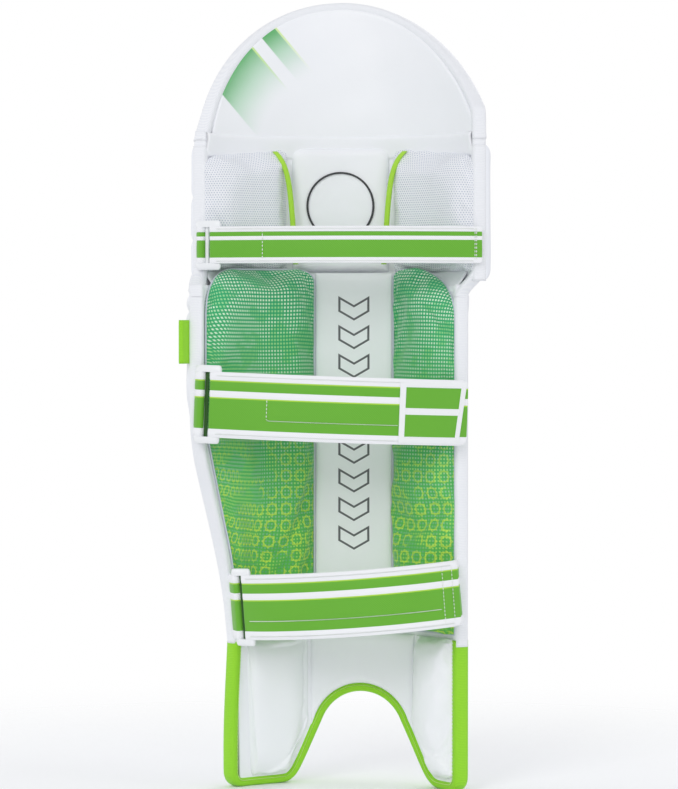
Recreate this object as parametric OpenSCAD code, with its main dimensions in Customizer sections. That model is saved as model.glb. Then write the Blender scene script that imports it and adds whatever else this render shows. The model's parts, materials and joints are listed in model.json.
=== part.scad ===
// Cricket leg pad for a left leg, standing on its feet.
// X runs across the pad towards the outer side of the leg, -Y is the face that meets the ball,
// +Y is the calf side, +Z is up. The Z axis is the axis of the leg that the pad wraps.
// Angles across the pad are measured about that axis from the front, positive towards +X.

/* [Overall] */
// Height from the feet to the top of the top hat
pad_h = 735; // [700:1:780]
// Radius of the shin section's front facing
shin_r = 136; // [128:1:144]
// Radius of the knee and top hat facing
knee_r = 148; // [146:1:156]
// Height of the seam between the shin ribs and the knee rolls
knee_seam_z = 472; // [462:1:480]
// Height of the seam between the knee rolls and the top hat
hat_seam_z = 600; // [594:1:606]

/* [Ribs and rolls] */
// Angle from one shin rib to the next
rib_pitch = 13.35; // [13:0.05:13.6]
// Width of a shin rib
rib_w = 30.5; // [28:0.5:30.5]
// Height of a shin rib above the facing
rib_h = 15; // [12:1:16]
// Height of a knee roll above the facing
roll_h = 22; // [16:1:24]
// Wall of the sewn covers
skin = 1.2; // [0.8:0.1:1.6]

/* [Leg side] */
// Depth of the long mesh bolsters
bolster_d = 25; // [18:1:28]
// Depth of the bolsters beside the knee
knee_bolster_d = 22; // [16:1:24]
// Width of the sewn edge binding
binding_w = 6; // [4:0.5:7]

/* [Straps] */
// Webbing width of the calf and ankle straps
wide_strap_w = 60; // [50:1:62]
// Webbing width of the knee strap
knee_strap_w = 34; // [30:1:40]
// Webbing thickness
web_t = 1.6; // [1.2:0.1:2]
// How far a closed strap bows away from the pad
strap_bow = 30; // [26:1:34]
// Distance between the two bars of a buckle
buckle_pitch = 13; // [12:0.5:14]

/* [Hidden] */
$fn = 96;

// Colours
white = [0.95, 0.95, 0.97];
pearl = [0.88, 0.89, 0.93];
lime = [0.52, 0.8, 0.16];
strap_green = [0.42, 0.68, 0.2];
mesh_green = [0.27, 0.68, 0.46];
foam_grey = [0.62, 0.64, 0.66];
cane_tan = [0.8, 0.66, 0.42];
ink = [0.14, 0.15, 0.17];

// Layers of a section, from the leg outwards: lining, foam sheet, facing
gap = 0.3;
sheet_t = 2;
foam_t = 5.4;
shin_in = shin_r - 2 * sheet_t - foam_t - 2 * gap;
knee_in = knee_r - 2 * sheet_t - foam_t - 2 * gap;

// Angles that bound the shin
shin_inner_edge = -65.5;
shin_outer_edge = 73;
wing_start = 2.5 * rib_pitch + 0.6;
// Angles that bound the knee section
knee_inner_edge = -71;
knee_outer_edge = 60;
roll_inner_end = -56;
roll_outer_end = 38;

// Heights on the shin
instep_top = 163;
rib_top = knee_seam_z - 4;
foot_binding_top = 141;
ankle_top = 140;
bolster_bottom = 146;
bolster_top = 481;
// Ribs that stop above the instep panel
short_ribs = [-2, -1, 0];
shin_rib_range = [-4 : 2];

// Knee rolls
roll_gap = 2;
roll_count = 3;
roll_w = (hat_seam_z - knee_seam_z - 6 - (roll_count - 1) * roll_gap) / roll_count;
knee_bolster_bottom = 490;
knee_bolster_top = 588;

// Top hat
hat_bottom = hat_seam_z + 2;
hat_rib_pitch = 12.3;
hat_rib_w = 30;
hat_rib_h = 12;
hat_rib_lift = 4;
dome_centre_x = -10;
dome_centre_z = pad_h - 158;
dome_half_w = 133;
dome_h = 158;

// ---------- shared shapes ----------

// Cross-section of a padded bar: flat base on the X axis, rounded shoulders above it
module loaf(w, h, r) {
    intersection() {
        union() {
            translate([-w / 2, 0]) square([w, h - r]);
            translate([-w / 2 + r, 0]) square([w - 2 * r, h]);
            for (s = [-1, 1]) translate([s * (w / 2 - r), h - r]) circle(r);
        }
        translate([-w, 0]) square([2 * w, h + 1]);
    }
}

// Turns a profile drawn in (radius, height) about the leg axis, from angle a0 to a1
module wrap(a0, a1) {
    rotate_extrude(angle = a1 - a0, start = a0 - 90) children();
}

// Curved sheet between two radii
module sheet(r0, r1, a0, a1, z0, z1) {
    wrap(a0, a1) translate([r0, z0]) square([r1 - r0, z1 - z0]);
}

// Padded block on the front of a radius, wrapped across the leg, with its length along Z
module outer_pad(r, h, a0, a1, z0, z1, round) {
    wrap(a0, a1) translate([r, (z0 + z1) / 2]) rotate(-90) loaf(z1 - z0, h, round);
}

// Padded block on the leg side of a radius
module inner_pad(r, h, a0, a1, z0, z1, round) {
    wrap(a0, a1) translate([r, (z0 + z1) / 2]) rotate(90) loaf(z1 - z0, h, round);
}

// Straight padded bar standing on radius r at angle a
module rib(r, w, h, a, z0, z1, round) {
    rotate([0, 0, a]) translate([0, -r, z0]) linear_extrude(z1 - z0) rotate(180) loaf(w, h, round);
}

// Draws a front-view outline through the whole depth of the pad
module through_depth() {
    rotate([90, 0, 0]) linear_extrude(500, center = true) children();
}

// Arch over the shoe, grown by g on every side
module arch(g = 0) {
    arch_x = -28;
    arch_r = 42;
    arch_z = 45;
    foot_half = 66;
    translate([arch_x, 0]) {
        translate([0, arch_z]) circle(arch_r + g);
        polygon([
            [-arch_r - g, arch_z], [arch_r + g, arch_z],
            [foot_half + g, -1], [-foot_half - g, -1]
        ]);
    }
}

// Outline of the shin section in front view: the outer edge narrows from calf to ankle
module shin_outline(inset = 0) {
    difference() {
        offset(delta = -inset) polygon([
            [-140, 0], [-140, knee_seam_z - 1], [131, knee_seam_z - 1], [131, 370],
            [125, 325], [115, 272], [105, 222], [98, 178], [94, 138], [98, 60], [99, 14], [92, 0]
        ]);
        arch(inset);
    }
}

// Outline of the top hat in front view
module hat_outline(inset = 0) {
    intersection() {
        translate([dome_centre_x, dome_centre_z])
            scale([(dome_half_w - inset) / (dome_h - inset), 1]) circle(dome_h - inset);
        translate([-200, hat_bottom]) square([400, 200]);
    }
}

// ---------- shin: sheets ----------

module shin_sheet(r0, r1) {
    intersection() {
        sheet(r0, r1, shin_inner_edge + 2.5, shin_outer_edge - 2.5, binding_w, knee_seam_z - 2);
        through_depth() shin_outline(binding_w + 0.2);
    }
}

module shin_facing() {
    color(white) shin_sheet(shin_r - sheet_t, shin_r);
}

module shin_foam_sheet() {
    color(foam_grey) shin_sheet(shin_in + sheet_t + gap, shin_r - sheet_t - gap);
}

module shin_lining() {
    color(pearl) shin_sheet(shin_in, shin_in + sheet_t);
}

// Edge ring of the shin section between two heights, wrapping lining, foam and facing
module shin_edge_ring(z0, z1) {
    intersection() {
        sheet(shin_in - 0.2, shin_r + 1, shin_inner_edge, shin_outer_edge, z0, z1);
        difference() {
            through_depth() shin_outline();
            intersection() {
                through_depth() shin_outline(binding_w);
                sheet(shin_in - 5, shin_r + 5, shin_inner_edge + 2.4, shin_outer_edge - 2.4, binding_w, pad_h);
            }
        }
    }
}

module foot_binding() {
    color(lime) shin_edge_ring(0, foot_binding_top);
}

module shin_binding() {
    color(white) shin_edge_ring(foot_binding_top + 0.5, knee_seam_z - 2);
}

// ---------- shin: front ribs ----------

function rib_bottom(k) = len(search(k, short_ribs)) > 0 ? instep_top : binding_w + 4;

// One of the seven rib shapes, shrunk by s on every face
module shin_rib_shape(k, s = 0, open_base = 0) {
    intersection() {
        rib(shin_r + gap - open_base, rib_w - 2 * s, rib_h - s + open_base, k * rib_pitch,
            rib_bottom(k) + s, rib_top - s, 6 - s);
        through_depth() shin_outline(binding_w + 2 + s);
    }
}

module shin_ribs() {
    color(white) for (k = shin_rib_range) difference() {
        shin_rib_shape(k);
        shin_rib_shape(k, skin, 1);
    }
}

rod_r = 3.2;
rod_spread = 8;

rod_top = rib_top - 40;

// The cane rods of one rib, or the pockets they lie in, which open at the rib's top end
module rib_rods(k, g = 0, top = rod_top) {
    rod_start = rib_bottom(k) + (len(search(k, short_ribs)) > 0 ? 8 : 140) - g;
    rotate([0, 0, k * rib_pitch]) for (s = [-1, 1])
        translate([s * rod_spread, -shin_r - rib_h / 2 - 0.4, rod_start])
            cylinder(r = rod_r + g, h = top - rod_start);
}

module shin_rib_cores() {
    color(foam_grey) for (k = shin_rib_range) difference() {
        shin_rib_shape(k, skin + 0.3);
        rib_rods(k, 0.1, knee_seam_z);
    }
}

module cane_rods() {
    color(cane_tan) for (k = shin_rib_range) rib_rods(k);
}

instep_start = -2.5 * rib_pitch + 1;
instep_end = 0.5 * rib_pitch - 0.6;

module instep_panel() {
    color(white) intersection() {
        outer_pad(shin_r + gap, 7, instep_start + 1, instep_end, binding_w, instep_top - 2, 4);
        through_depth() shin_outline(binding_w + 2);
    }
}

module side_wing_shape(s = 0, open_base = 0) {
    intersection() {
        outer_pad(shin_r + gap - open_base, 9 - s + open_base, wing_start + s / 2, shin_outer_edge - 3 - s / 2,
                  binding_w + 4 + s, rib_top - s, 4 - s);
        through_depth() shin_outline(binding_w + 2 + s);
    }
}

module side_wing() {
    color(white) difference() {
        side_wing_shape();
        side_wing_shape(skin, 1);
    }
}

module wing_foam() {
    color(foam_grey) side_wing_shape(skin + 0.3);
}

// Folded ribbon tab sewn into the outer edge
tab_z = 417;
module side_tab() {
    color(lime) rotate([0, 0, shin_outer_edge]) translate([0, -shin_r, tab_z - 20])
        translate([0.3, -3.5, 0]) cube([9, 2.6, 40]);
}

// ---------- shin: leg side ----------

bolster_r = shin_in - gap;
outer_bolster_start = 8;
inner_bolster_start = -27;

// The long bolsters narrow towards the ankle with the pad, and give way where the ankle strap passes
module bolster_shape(outer, s = 0, open_base = 0) {
    a0 = outer ? outer_bolster_start : shin_inner_edge + 1;
    a1 = outer ? shin_outer_edge - 4 : inner_bolster_start;
    difference() {
        intersection() {
            inner_pad(bolster_r + open_base, bolster_d - s + open_base, a0 + s / 2, a1 - s / 2,
                      bolster_bottom + s, bolster_top - s, 10 - s);
            through_depth() shin_outline_tall(4 + s);
        }
        strap_room(ankle_set, 3 + s);
    }
}

// The shin outline carried above the knee seam, for the pieces that reach behind the knee rolls
module shin_outline_tall(inset) {
    shin_outline(inset);
    translate([-136, knee_seam_z - 20]) square([136 + 131 - inset, 60]);
}

module bolster_cover(outer) {
    color(mesh_green) difference() {
        bolster_shape(outer);
        bolster_shape(outer, skin, 1);
    }
}

module bolster_outer() { bolster_cover(true); }

module bolster_inner() { bolster_cover(false); }

module bolster_cores() {
    color(foam_grey) for (outer = [true, false]) bolster_shape(outer, skin + 0.3);
}

module channel_strip() {
    color(white) sheet(bolster_r - 5, bolster_r, inner_bolster_start + 0.6, outer_bolster_start - 0.6,
                       bolster_bottom, bolster_top);
}

outer_ankle = [10, 43];
inner_ankle = [-64, -38];

module ankle_pad_shape(a, s = 0, open_base = 0) {
    intersection() {
        inner_pad(bolster_r + open_base, 16 - s + open_base, a[0] + s / 2, a[1] - s / 2,
                  3 + s, ankle_top - s, 8 - s);
        through_depth() shin_outline(3 + s);
    }
}

module ankle_pad_cover(a) {
    color(white) difference() {
        ankle_pad_shape(a);
        ankle_pad_shape(a, skin, 1);
    }
}

module ankle_pad_outer() { ankle_pad_cover(outer_ankle); }

module ankle_pad_inner() { ankle_pad_cover(inner_ankle); }

module ankle_pad_cores() {
    color(foam_grey) for (a = [outer_ankle, inner_ankle]) ankle_pad_shape(a, skin + 0.3);
}

module ankle_panel() {
    color(pearl) intersection() {
        sheet(bolster_r - 4, bolster_r, inner_ankle[1] + 0.6, outer_ankle[0] - 0.6, 3, ankle_top);
        through_depth() shin_outline(binding_w + 0.5);
    }
}

// ---------- knee section ----------

module knee_sheet(r0, r1) {
    sheet(r0, r1, knee_inner_edge, knee_outer_edge, knee_seam_z, hat_seam_z - 1);
}

module knee_facing() {
    color(white) knee_sheet(knee_r - sheet_t, knee_r);
}

module knee_foam_sheet() {
    color(foam_grey) knee_sheet(knee_in + sheet_t + gap, knee_r - sheet_t - gap);
}

module knee_lining() {
    color(pearl) knee_sheet(knee_in, knee_in + sheet_t);
}

// Roll i counts from the bottom
module knee_roll_shape(i, s = 0, open_base = 0) {
    z0 = knee_seam_z + 4 + i * (roll_w + roll_gap);
    outer_pad(knee_r + gap - open_base, roll_h - s + open_base, roll_inner_end + s / 2, roll_outer_end - s / 2,
              z0 + s, z0 + roll_w - s, 12 - s);
}

module knee_roll(i) {
    color(white) difference() {
        knee_roll_shape(i);
        knee_roll_shape(i, skin, 1);
    }
}

module knee_roll_cores() {
    color(foam_grey) for (i = [0 : roll_count - 1]) knee_roll_shape(i, skin + 0.3);
}

module knee_wing_shape(a0, a1, s = 0, open_base = 0) {
    outer_pad(knee_r + gap - open_base, 8 - s + open_base, a0 + s / 2, a1 - s / 2,
              knee_seam_z + 3 + s, hat_seam_z - 6 - s, 5 - s);
}

outer_knee_wing = [roll_outer_end + 0.6, knee_outer_edge];
inner_knee_wing = [knee_inner_edge, roll_inner_end - 0.6];

module knee_wing_cover(a) {
    color(white) difference() {
        knee_wing_shape(a[0], a[1]);
        knee_wing_shape(a[0], a[1], skin, 1);
    }
}

module knee_wing_outer() { knee_wing_cover(outer_knee_wing); }

module knee_wing_inner() { knee_wing_cover(inner_knee_wing); }

module knee_wing_foams() {
    color(foam_grey) for (a = [outer_knee_wing, inner_knee_wing]) knee_wing_shape(a[0], a[1], skin + 0.3);
}

knee_pad_r = knee_in - gap;
outer_knee_pad = [18.5, knee_outer_edge];
inner_knee_pad = [knee_inner_edge, -25];

module knee_bolster_shape(a, s = 0, open_base = 0) {
    inner_pad(knee_pad_r + open_base, knee_bolster_d - s + open_base, a[0] + s / 2, a[1] - s / 2,
              knee_bolster_bottom + s, knee_bolster_top - s, 9 - s);
}

module knee_bolster_cover(a) {
    color(pearl) difference() {
        knee_bolster_shape(a);
        knee_bolster_shape(a, skin, 1);
    }
}

module knee_bolster_outer() { knee_bolster_cover(outer_knee_pad); }

module knee_bolster_inner() { knee_bolster_cover(inner_knee_pad); }

module knee_bolster_cores() {
    color(foam_grey) for (a = [outer_knee_pad, inner_knee_pad]) knee_bolster_shape(a, skin + 0.3);
}

piping_r = 1.6;
module knee_panel() {
    color(white) sheet(knee_pad_r - 8, knee_pad_r, inner_knee_pad[1] + 1.8, outer_knee_pad[0] - 1.8,
                       knee_bolster_bottom, knee_bolster_top + 2);
}

module knee_piping() {
    color(lime) for (a = [inner_knee_pad[1] + 0.9, outer_knee_pad[0] - 0.9]) rotate([0, 0, a])
        translate([0, -knee_pad_r + knee_bolster_d - 3, knee_bolster_bottom])
            cylinder(r = piping_r, h = knee_bolster_top - knee_bolster_bottom);
}

// ---------- top hat ----------

module hat_sheet(r0, r1) {
    intersection() {
        sheet(r0, r1, knee_inner_edge, knee_outer_edge, hat_bottom, pad_h);
        through_depth() hat_outline(binding_w + 0.2);
    }
}

module hat_facing() {
    color(white) hat_sheet(knee_r - sheet_t, knee_r);
}

module hat_foam_sheet() {
    color(foam_grey) hat_sheet(knee_in + sheet_t + gap, knee_r - sheet_t - gap);
}

module hat_lining() {
    color(pearl) hat_sheet(knee_in, knee_in + sheet_t);
}

module hat_ribs() {
    color(white) for (k = shin_rib_range) intersection() {
        rib(knee_r + 0.6, hat_rib_w, hat_rib_h, k * hat_rib_pitch, hat_bottom + hat_rib_lift, pad_h, 5);
        through_depth() hat_outline(binding_w + 2);
    }
}

module hat_binding() {
    color(white) intersection() {
        sheet(knee_in - 1, knee_r + 1, knee_inner_edge, knee_outer_edge, hat_bottom, pad_h);
        through_depth() difference() {
            hat_outline();
            hat_outline(binding_w);
        }
    }
}

// ---------- straps ----------

// A strap set: [point at the buckle's edge, point at the sewn edge, height in the middle, tilt, width, bow]
knee_set = [[129, -71], [-137, -46], 506, 0, knee_strap_w, strap_bow];
calf_set = [[129, -37], [-127, -50], 356, -2.1, wide_strap_w, strap_bow + 6];
ankle_set = [[92, -76], [-127, -50], 179, 4.4, wide_strap_w, strap_bow + 20];

tab_len = 10;
bar_r = 1.8;
patch_t = 1;
sewn = 0.03;
tail_lift = web_t + 2 * patch_t + 0.4;
bend_in = bar_r + 0.1;
// How far the free run laps over its half turn
bend_lap = 1;

function chord(s) = norm(s[0] - s[1]);
function chord_angle(s) = atan2(s[0][1] - s[1][1], s[0][0] - s[1][0]);
// Bow of the strap: radius of its inner face, and half the angle it covers
function bow_r(s) = (pow(chord(s) / 2, 2) + pow(s[5], 2)) / (2 * s[5]);
function half_angle(s) = asin(chord(s) / 2 / bow_r(s));
// Angle along the bow of a point that lies d from the buckle end
function bow_angle(s, d) = half_angle(s) - d * 180 / (PI * bow_r(s));

strap_bar_d = tab_len + buckle_pitch;
function bar_radius(s) = bow_r(s) + tail_lift - bend_in;

// Places children in the strap's own frame: origin on the axis of its bow, Z along the webbing's width
module strap_frame(s) {
    mid = (s[0] + s[1]) / 2;
    translate([mid[0], mid[1], s[2]]) rotate([0, s[3], 0]) rotate([0, 0, chord_angle(s)])
        translate([0, s[5] - bow_r(s), 0]) children();
}

// Space behind a strap that the padding keeps clear of by g, flaring out above the webbing
module strap_room(s, g) {
    clear_r = bow_r(s) - g;
    low = -s[4] / 2 - 20;
    flare_z = s[4] / 2 + 10;
    flare_h = 110;
    flare = 36;
    strap_frame(s) rotate_extrude() polygon([
        [clear_r, low], [clear_r, flare_z], [clear_r + flare, flare_z + flare_h],
        [clear_r + 200, flare_z + flare_h], [clear_r + 200, low]
    ]);
}

// Strip of webbing on the bow, from d0 to d1 along it, between two radii
module bow_strip(s, r0, r1, d0, d1, w) {
    a0 = bow_angle(s, d1);
    a1 = bow_angle(s, d0);
    rotate_extrude(angle = a1 - a0, start = 90 - a1) translate([r0, -w / 2]) square([r1 - r0, w]);
}

// Frame of a buckle bar at distance d along the bow: X points back towards the pad's outer edge
module at_bar(s, d) {
    rotate([0, 0, -bow_angle(s, d)]) translate([0, bar_radius(s), 0]) children();
}

// Half turn of webbing round a bar: side 1 opens towards the sewn end, side -1 towards the outer edge
module bend(w, side, inset = 0) {
    rotate_extrude(angle = 180, start = side > 0 ? -90 : 90)
        translate([bend_in + inset, -w / 2]) square([web_t - 2 * inset, w]);
}

// Short webbing loop that holds the buckle to the edge of the pad
module strap_tab(s) {
    color(strap_green) strap_frame(s) at_bar(s, tab_len) {
        bend(s[4], -1);
        for (y = [bend_in, -bend_in - web_t]) translate([0, y, -s[4] / 2]) cube([tab_len - 1, web_t, s[4]]);
    }
}

// The sewn run of the strap, which stops just short of the buckle bar
module strap_run(s) {
    color(strap_green) strap_frame(s)
        bow_strip(s, bow_r(s), bow_r(s) + web_t, strap_bar_d + 5, bow_r(s) * half_angle(s) * PI / 90 - 1, s[4]);
}

// Moulded loop with one bar for the tab and one for the strap
module buckle(s) {
    end_h = 5;
    end_r = 3;
    overhang = 5;
    color(white) strap_frame(s) {
        for (d = [tab_len, strap_bar_d]) at_bar(s, d) translate([0, 0, -s[4] / 2 - end_h / 2])
            cylinder(r = bar_r, h = s[4] + end_h);
        at_bar(s, tab_len + buckle_pitch / 2) for (z = [-1, 1]) translate([0, 0, z * (s[4] / 2 + 0.6 + end_h / 2) - end_h / 2]) {
            translate([-buckle_pitch / 2 - overhang, -end_r, 0]) cube([buckle_pitch + 2 * overhang, 2 * end_r, end_h]);
            for (x = [-1, 1]) translate([x * (buckle_pitch / 2 + overhang), 0, 0]) cylinder(r = end_r, h = end_h);
        }
    }
}

// The free run of the strap: it turns round the buckle bar and lies back over the sewn run
module strap_tail(s, len) {
    color(strap_green) strap_frame(s) {
        bow_strip(s, bow_r(s) + tail_lift, bow_r(s) + tail_lift + web_t, strap_bar_d - bend_lap, len, s[4]);
        at_bar(s, strap_bar_d) bend(s[4] - 0.6, 1, 0.1);
    }
}

module loop_patch(s, d0, d1) {
    color(white) strap_frame(s)
        bow_strip(s, bow_r(s) + web_t + sewn, bow_r(s) + web_t + patch_t, d0, d1, s[4] * 0.6);
}

module hook_patch(s, d0, d1) {
    color(ink) strap_frame(s)
        bow_strip(s, bow_r(s) + tail_lift - patch_t, bow_r(s) + tail_lift - sewn, d0, d1, s[4] * 0.6);
}

// Lengths along the bow: tip of each tail, and start of its hook patch
knee_tip = 274;
knee_hook = 75;
calf_tip = 262;
calf_hook = 62;
ankle_tip = 232;
ankle_hook = 30;

module knee_tab() { strap_tab(knee_set); }
module knee_strap() { strap_run(knee_set); }
module knee_loop_patch() { loop_patch(knee_set, knee_hook - 30, knee_tip - 12); }
module knee_buckle() { buckle(knee_set); }
module knee_tail() { strap_tail(knee_set, knee_tip); }
module knee_hook_patch() { hook_patch(knee_set, knee_hook, knee_tip - 8); }

module calf_tab() { strap_tab(calf_set); }
module calf_strap() { strap_run(calf_set); }
module calf_loop_patch() { loop_patch(calf_set, calf_hook - 20, calf_tip - 14); }
module calf_buckle() { buckle(calf_set); }
module calf_tail() { strap_tail(calf_set, calf_tip); }
module calf_hook_patch() { hook_patch(calf_set, calf_hook, calf_tip - 10); }

module calf_badge() {
    face_r = bow_r(calf_set) + tail_lift + web_t;
    color(white) strap_frame(calf_set)
        bow_strip(calf_set, face_r + sewn, face_r + 1.2, calf_tip - 68, calf_tip - 2, wide_strap_w - 4);
}

module ankle_tab() { strap_tab(ankle_set); }
module ankle_strap() { strap_run(ankle_set); }
module ankle_loop_patch() { loop_patch(ankle_set, ankle_hook + 12, ankle_tip - 8); }
module ankle_buckle() { buckle(ankle_set); }
module ankle_tail() { strap_tail(ankle_set, ankle_tip); }
module ankle_hook_patch() { hook_patch(ankle_set, ankle_hook, ankle_tip - 6); }

// Positions of the buckle bars, which the hinges turn about
function bar_at(s, d) =
    let (a = bow_angle(s, d), r = bar_radius(s), c = chord_angle(s), mid = (s[0] + s[1]) / 2,
         lx = r * sin(a), ly = r * cos(a) + s[5] - bow_r(s),
         px = lx * cos(c) - ly * sin(c), py = lx * sin(c) + ly * cos(c))
    [mid[0] + px * cos(s[3]), mid[1] + py, s[2] - px * sin(s[3])];

for (set = [["knee", knee_set], ["calf", calf_set], ["ankle", ankle_set]])
    echo(str(set[0], " strap"), tab_bar = bar_at(set[1], tab_len), strap_bar = bar_at(set[1], strap_bar_d),
         bow = bow_r(set[1]), length = bow_r(set[1]) * half_angle(set[1]) * PI / 90);

shin_facing();
shin_foam_sheet();
shin_lining();
shin_ribs();
shin_rib_cores();
cane_rods();
instep_panel();
side_wing();
wing_foam();
side_tab();
bolster_outer();
bolster_inner();
bolster_cores();
channel_strip();
ankle_pad_outer();
ankle_pad_inner();
ankle_pad_cores();
ankle_panel();
foot_binding();
shin_binding();
calf_tab();
calf_strap();
calf_loop_patch();
ankle_tab();
ankle_strap();
ankle_loop_patch();
calf_buckle();
calf_tail();
calf_hook_patch();
calf_badge();
ankle_buckle();
ankle_tail();
ankle_hook_patch();
knee_facing();
knee_foam_sheet();
knee_lining();
knee_roll(2);  // knee_roll_top
knee_roll(1);  // knee_roll_middle
knee_roll(0);  // knee_roll_bottom
knee_roll_cores();
knee_wing_outer();
knee_wing_inner();
knee_wing_foams();
knee_bolster_outer();
knee_bolster_inner();
knee_bolster_cores();
knee_panel();
knee_piping();
knee_tab();
knee_strap();
knee_loop_patch();
knee_buckle();
knee_tail();
knee_hook_patch();
hat_facing();
hat_foam_sheet();
hat_lining();
hat_ribs();
hat_binding();
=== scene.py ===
import json
import math

import bmesh
import bpy
import numpy as np
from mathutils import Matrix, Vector

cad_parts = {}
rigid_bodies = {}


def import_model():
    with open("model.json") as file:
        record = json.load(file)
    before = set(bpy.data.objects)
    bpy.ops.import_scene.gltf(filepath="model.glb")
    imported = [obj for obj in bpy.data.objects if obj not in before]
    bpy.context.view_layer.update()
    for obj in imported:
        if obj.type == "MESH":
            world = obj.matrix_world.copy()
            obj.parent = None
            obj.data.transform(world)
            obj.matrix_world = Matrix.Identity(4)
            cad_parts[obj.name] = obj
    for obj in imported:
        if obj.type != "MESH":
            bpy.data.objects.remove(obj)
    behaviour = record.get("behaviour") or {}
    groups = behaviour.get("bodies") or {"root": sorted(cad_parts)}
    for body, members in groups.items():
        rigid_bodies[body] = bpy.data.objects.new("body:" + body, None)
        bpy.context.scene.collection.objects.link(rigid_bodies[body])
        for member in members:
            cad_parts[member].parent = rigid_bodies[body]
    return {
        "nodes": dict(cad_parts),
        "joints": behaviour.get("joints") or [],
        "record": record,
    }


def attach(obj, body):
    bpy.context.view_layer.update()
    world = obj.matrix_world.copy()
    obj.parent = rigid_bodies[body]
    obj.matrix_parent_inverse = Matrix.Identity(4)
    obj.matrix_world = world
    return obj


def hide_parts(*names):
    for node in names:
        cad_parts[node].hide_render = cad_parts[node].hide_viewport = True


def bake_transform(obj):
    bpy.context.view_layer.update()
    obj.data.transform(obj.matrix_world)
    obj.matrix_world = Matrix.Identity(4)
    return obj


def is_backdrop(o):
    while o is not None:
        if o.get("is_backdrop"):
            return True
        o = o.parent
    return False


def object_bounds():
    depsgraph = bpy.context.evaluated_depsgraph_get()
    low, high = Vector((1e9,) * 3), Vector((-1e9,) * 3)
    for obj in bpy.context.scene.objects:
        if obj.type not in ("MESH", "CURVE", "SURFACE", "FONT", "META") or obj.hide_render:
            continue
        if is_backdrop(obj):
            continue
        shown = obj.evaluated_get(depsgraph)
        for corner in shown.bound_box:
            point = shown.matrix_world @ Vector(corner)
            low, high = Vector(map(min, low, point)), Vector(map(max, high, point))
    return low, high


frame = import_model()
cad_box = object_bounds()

# Lengths are in metres. Angles across the pad are in degrees about the leg axis, from the front and positive
# towards the outer side. Turns that are built with sines and cosines are in radians.
MM = 0.001
NODES = frame["nodes"]
JOINTS = {j["name"]: j for j in frame["joints"]}
BODY = {n: b for b, ns in frame["record"]["behaviour"]["bodies"].items() for n in ns}


# ---------- reading the frame ----------

def points(node):
    mesh = NODES[node].data
    co = np.zeros(len(mesh.vertices) * 3)
    mesh.vertices.foreach_get("co", co)
    return co.reshape(-1, 3)


def polar(p):
    """Radius, angle and height of points about the leg axis."""
    return np.hypot(p[:, 0], p[:, 1]), np.degrees(np.arctan2(p[:, 0], -p[:, 1])), p[:, 2]


def extent(p):
    """Least and greatest radius, angle and height of points about the leg axis."""
    r, a, z = polar(p)
    return (r.min(), r.max(), a.min(), a.max(), z.min(), z.max())


def span(node):
    return extent(points(node))


def islands(node):
    """The node's separate solids, each as an extent, from the inner edge outwards."""
    mesh = NODES[node].data
    p = points(node)
    _, same = np.unique(np.round(p, 6), axis=0, return_inverse=True)
    same = same.ravel()
    parent = list(range(same.max() + 1))

    def root(i):
        while parent[i] != i:
            parent[i] = parent[parent[i]]
            i = parent[i]
        return i

    for e in mesh.edges:
        i, j = root(same[e.vertices[0]]), root(same[e.vertices[1]])
        parent[i] = j
    groups = {}
    for k, s in enumerate(same):
        groups.setdefault(root(s), []).append(k)
    return sorted((extent(p[ids]) for ids in groups.values()), key=lambda s: s[2])


# ---------- mesh building ----------

def at(r, a, z):
    """Point at radius r, angle a and height z about the leg axis; works on arrays too."""
    a = np.radians(a)
    return np.stack(np.broadcast_arrays(r * np.sin(a), -r * np.cos(a), z), axis=-1)


def unit(v):
    return v / np.linalg.norm(v)


def smoothstep(t):
    return t * t * (3 - 2 * t)


def link(obj):
    bpy.context.scene.collection.objects.link(obj)
    return obj


def new_object(name, verts, faces, body, material, smooth=True, uv=None):
    mesh = bpy.data.meshes.new(name)
    mesh.from_pydata([tuple(v) for v in verts], [], faces)
    if uv is not None:
        loops = np.zeros(len(mesh.loops), int)
        mesh.loops.foreach_get("vertex_index", loops)
        mesh.uv_layers.new(name="UVMap").data.foreach_set("uv", np.asarray(uv, float)[loops].ravel())
    obj = link(bpy.data.objects.new(name, mesh))
    for m in material if isinstance(material, (list, tuple)) else [material]:
        mesh.materials.append(m)
    if smooth:
        mesh.polygons.foreach_set("use_smooth", [True] * len(mesh.polygons))
    if body:
        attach(obj, body)
    return obj


def done(obj, slot, *hides):
    """Lets a finished piece take over from hidden CAD nodes; the slot argument is not used."""
    if hides:
        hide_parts(*hides)
    return obj


def tidy_mesh(obj, merge=1e-6):
    """Joins points closer than merge and turns all faces outwards."""
    bm = bmesh.new()
    bm.from_mesh(obj.data)
    bmesh.ops.remove_doubles(bm, verts=bm.verts, dist=merge)
    bmesh.ops.recalc_face_normals(bm, faces=bm.faces)
    bm.to_mesh(obj.data)
    bm.free()


def spread(n, ease):
    """n + 1 parameters from -1 to 1, packed towards the ends by ease."""
    t = np.linspace(-1, 1, n + 1)
    return t + ease * np.sin(np.pi * t) / np.pi


def ripple(x, y, seed, size):
    """Smooth pseudo-random height in about -1..1 with features of the given size."""
    rng = np.random.RandomState(seed)
    total = np.zeros(np.broadcast(x, y).shape)
    for _ in range(7):
        turn = rng.uniform(0, 2 * np.pi)
        k = 2 * np.pi / (size * rng.uniform(0.6, 1.9))
        total = total + np.sin(k * (x * np.cos(turn) + y * np.sin(turn)) + rng.uniform(0, 6.28))
    return total / 4


def dome(t, power, root=2.0):
    """Crowned profile over -1..1: 1 in the middle and 0 at the ends; a higher power gives flatter tops."""
    return np.clip(1 - np.abs(t) ** power, 0, 1) ** (1 / root)


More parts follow.
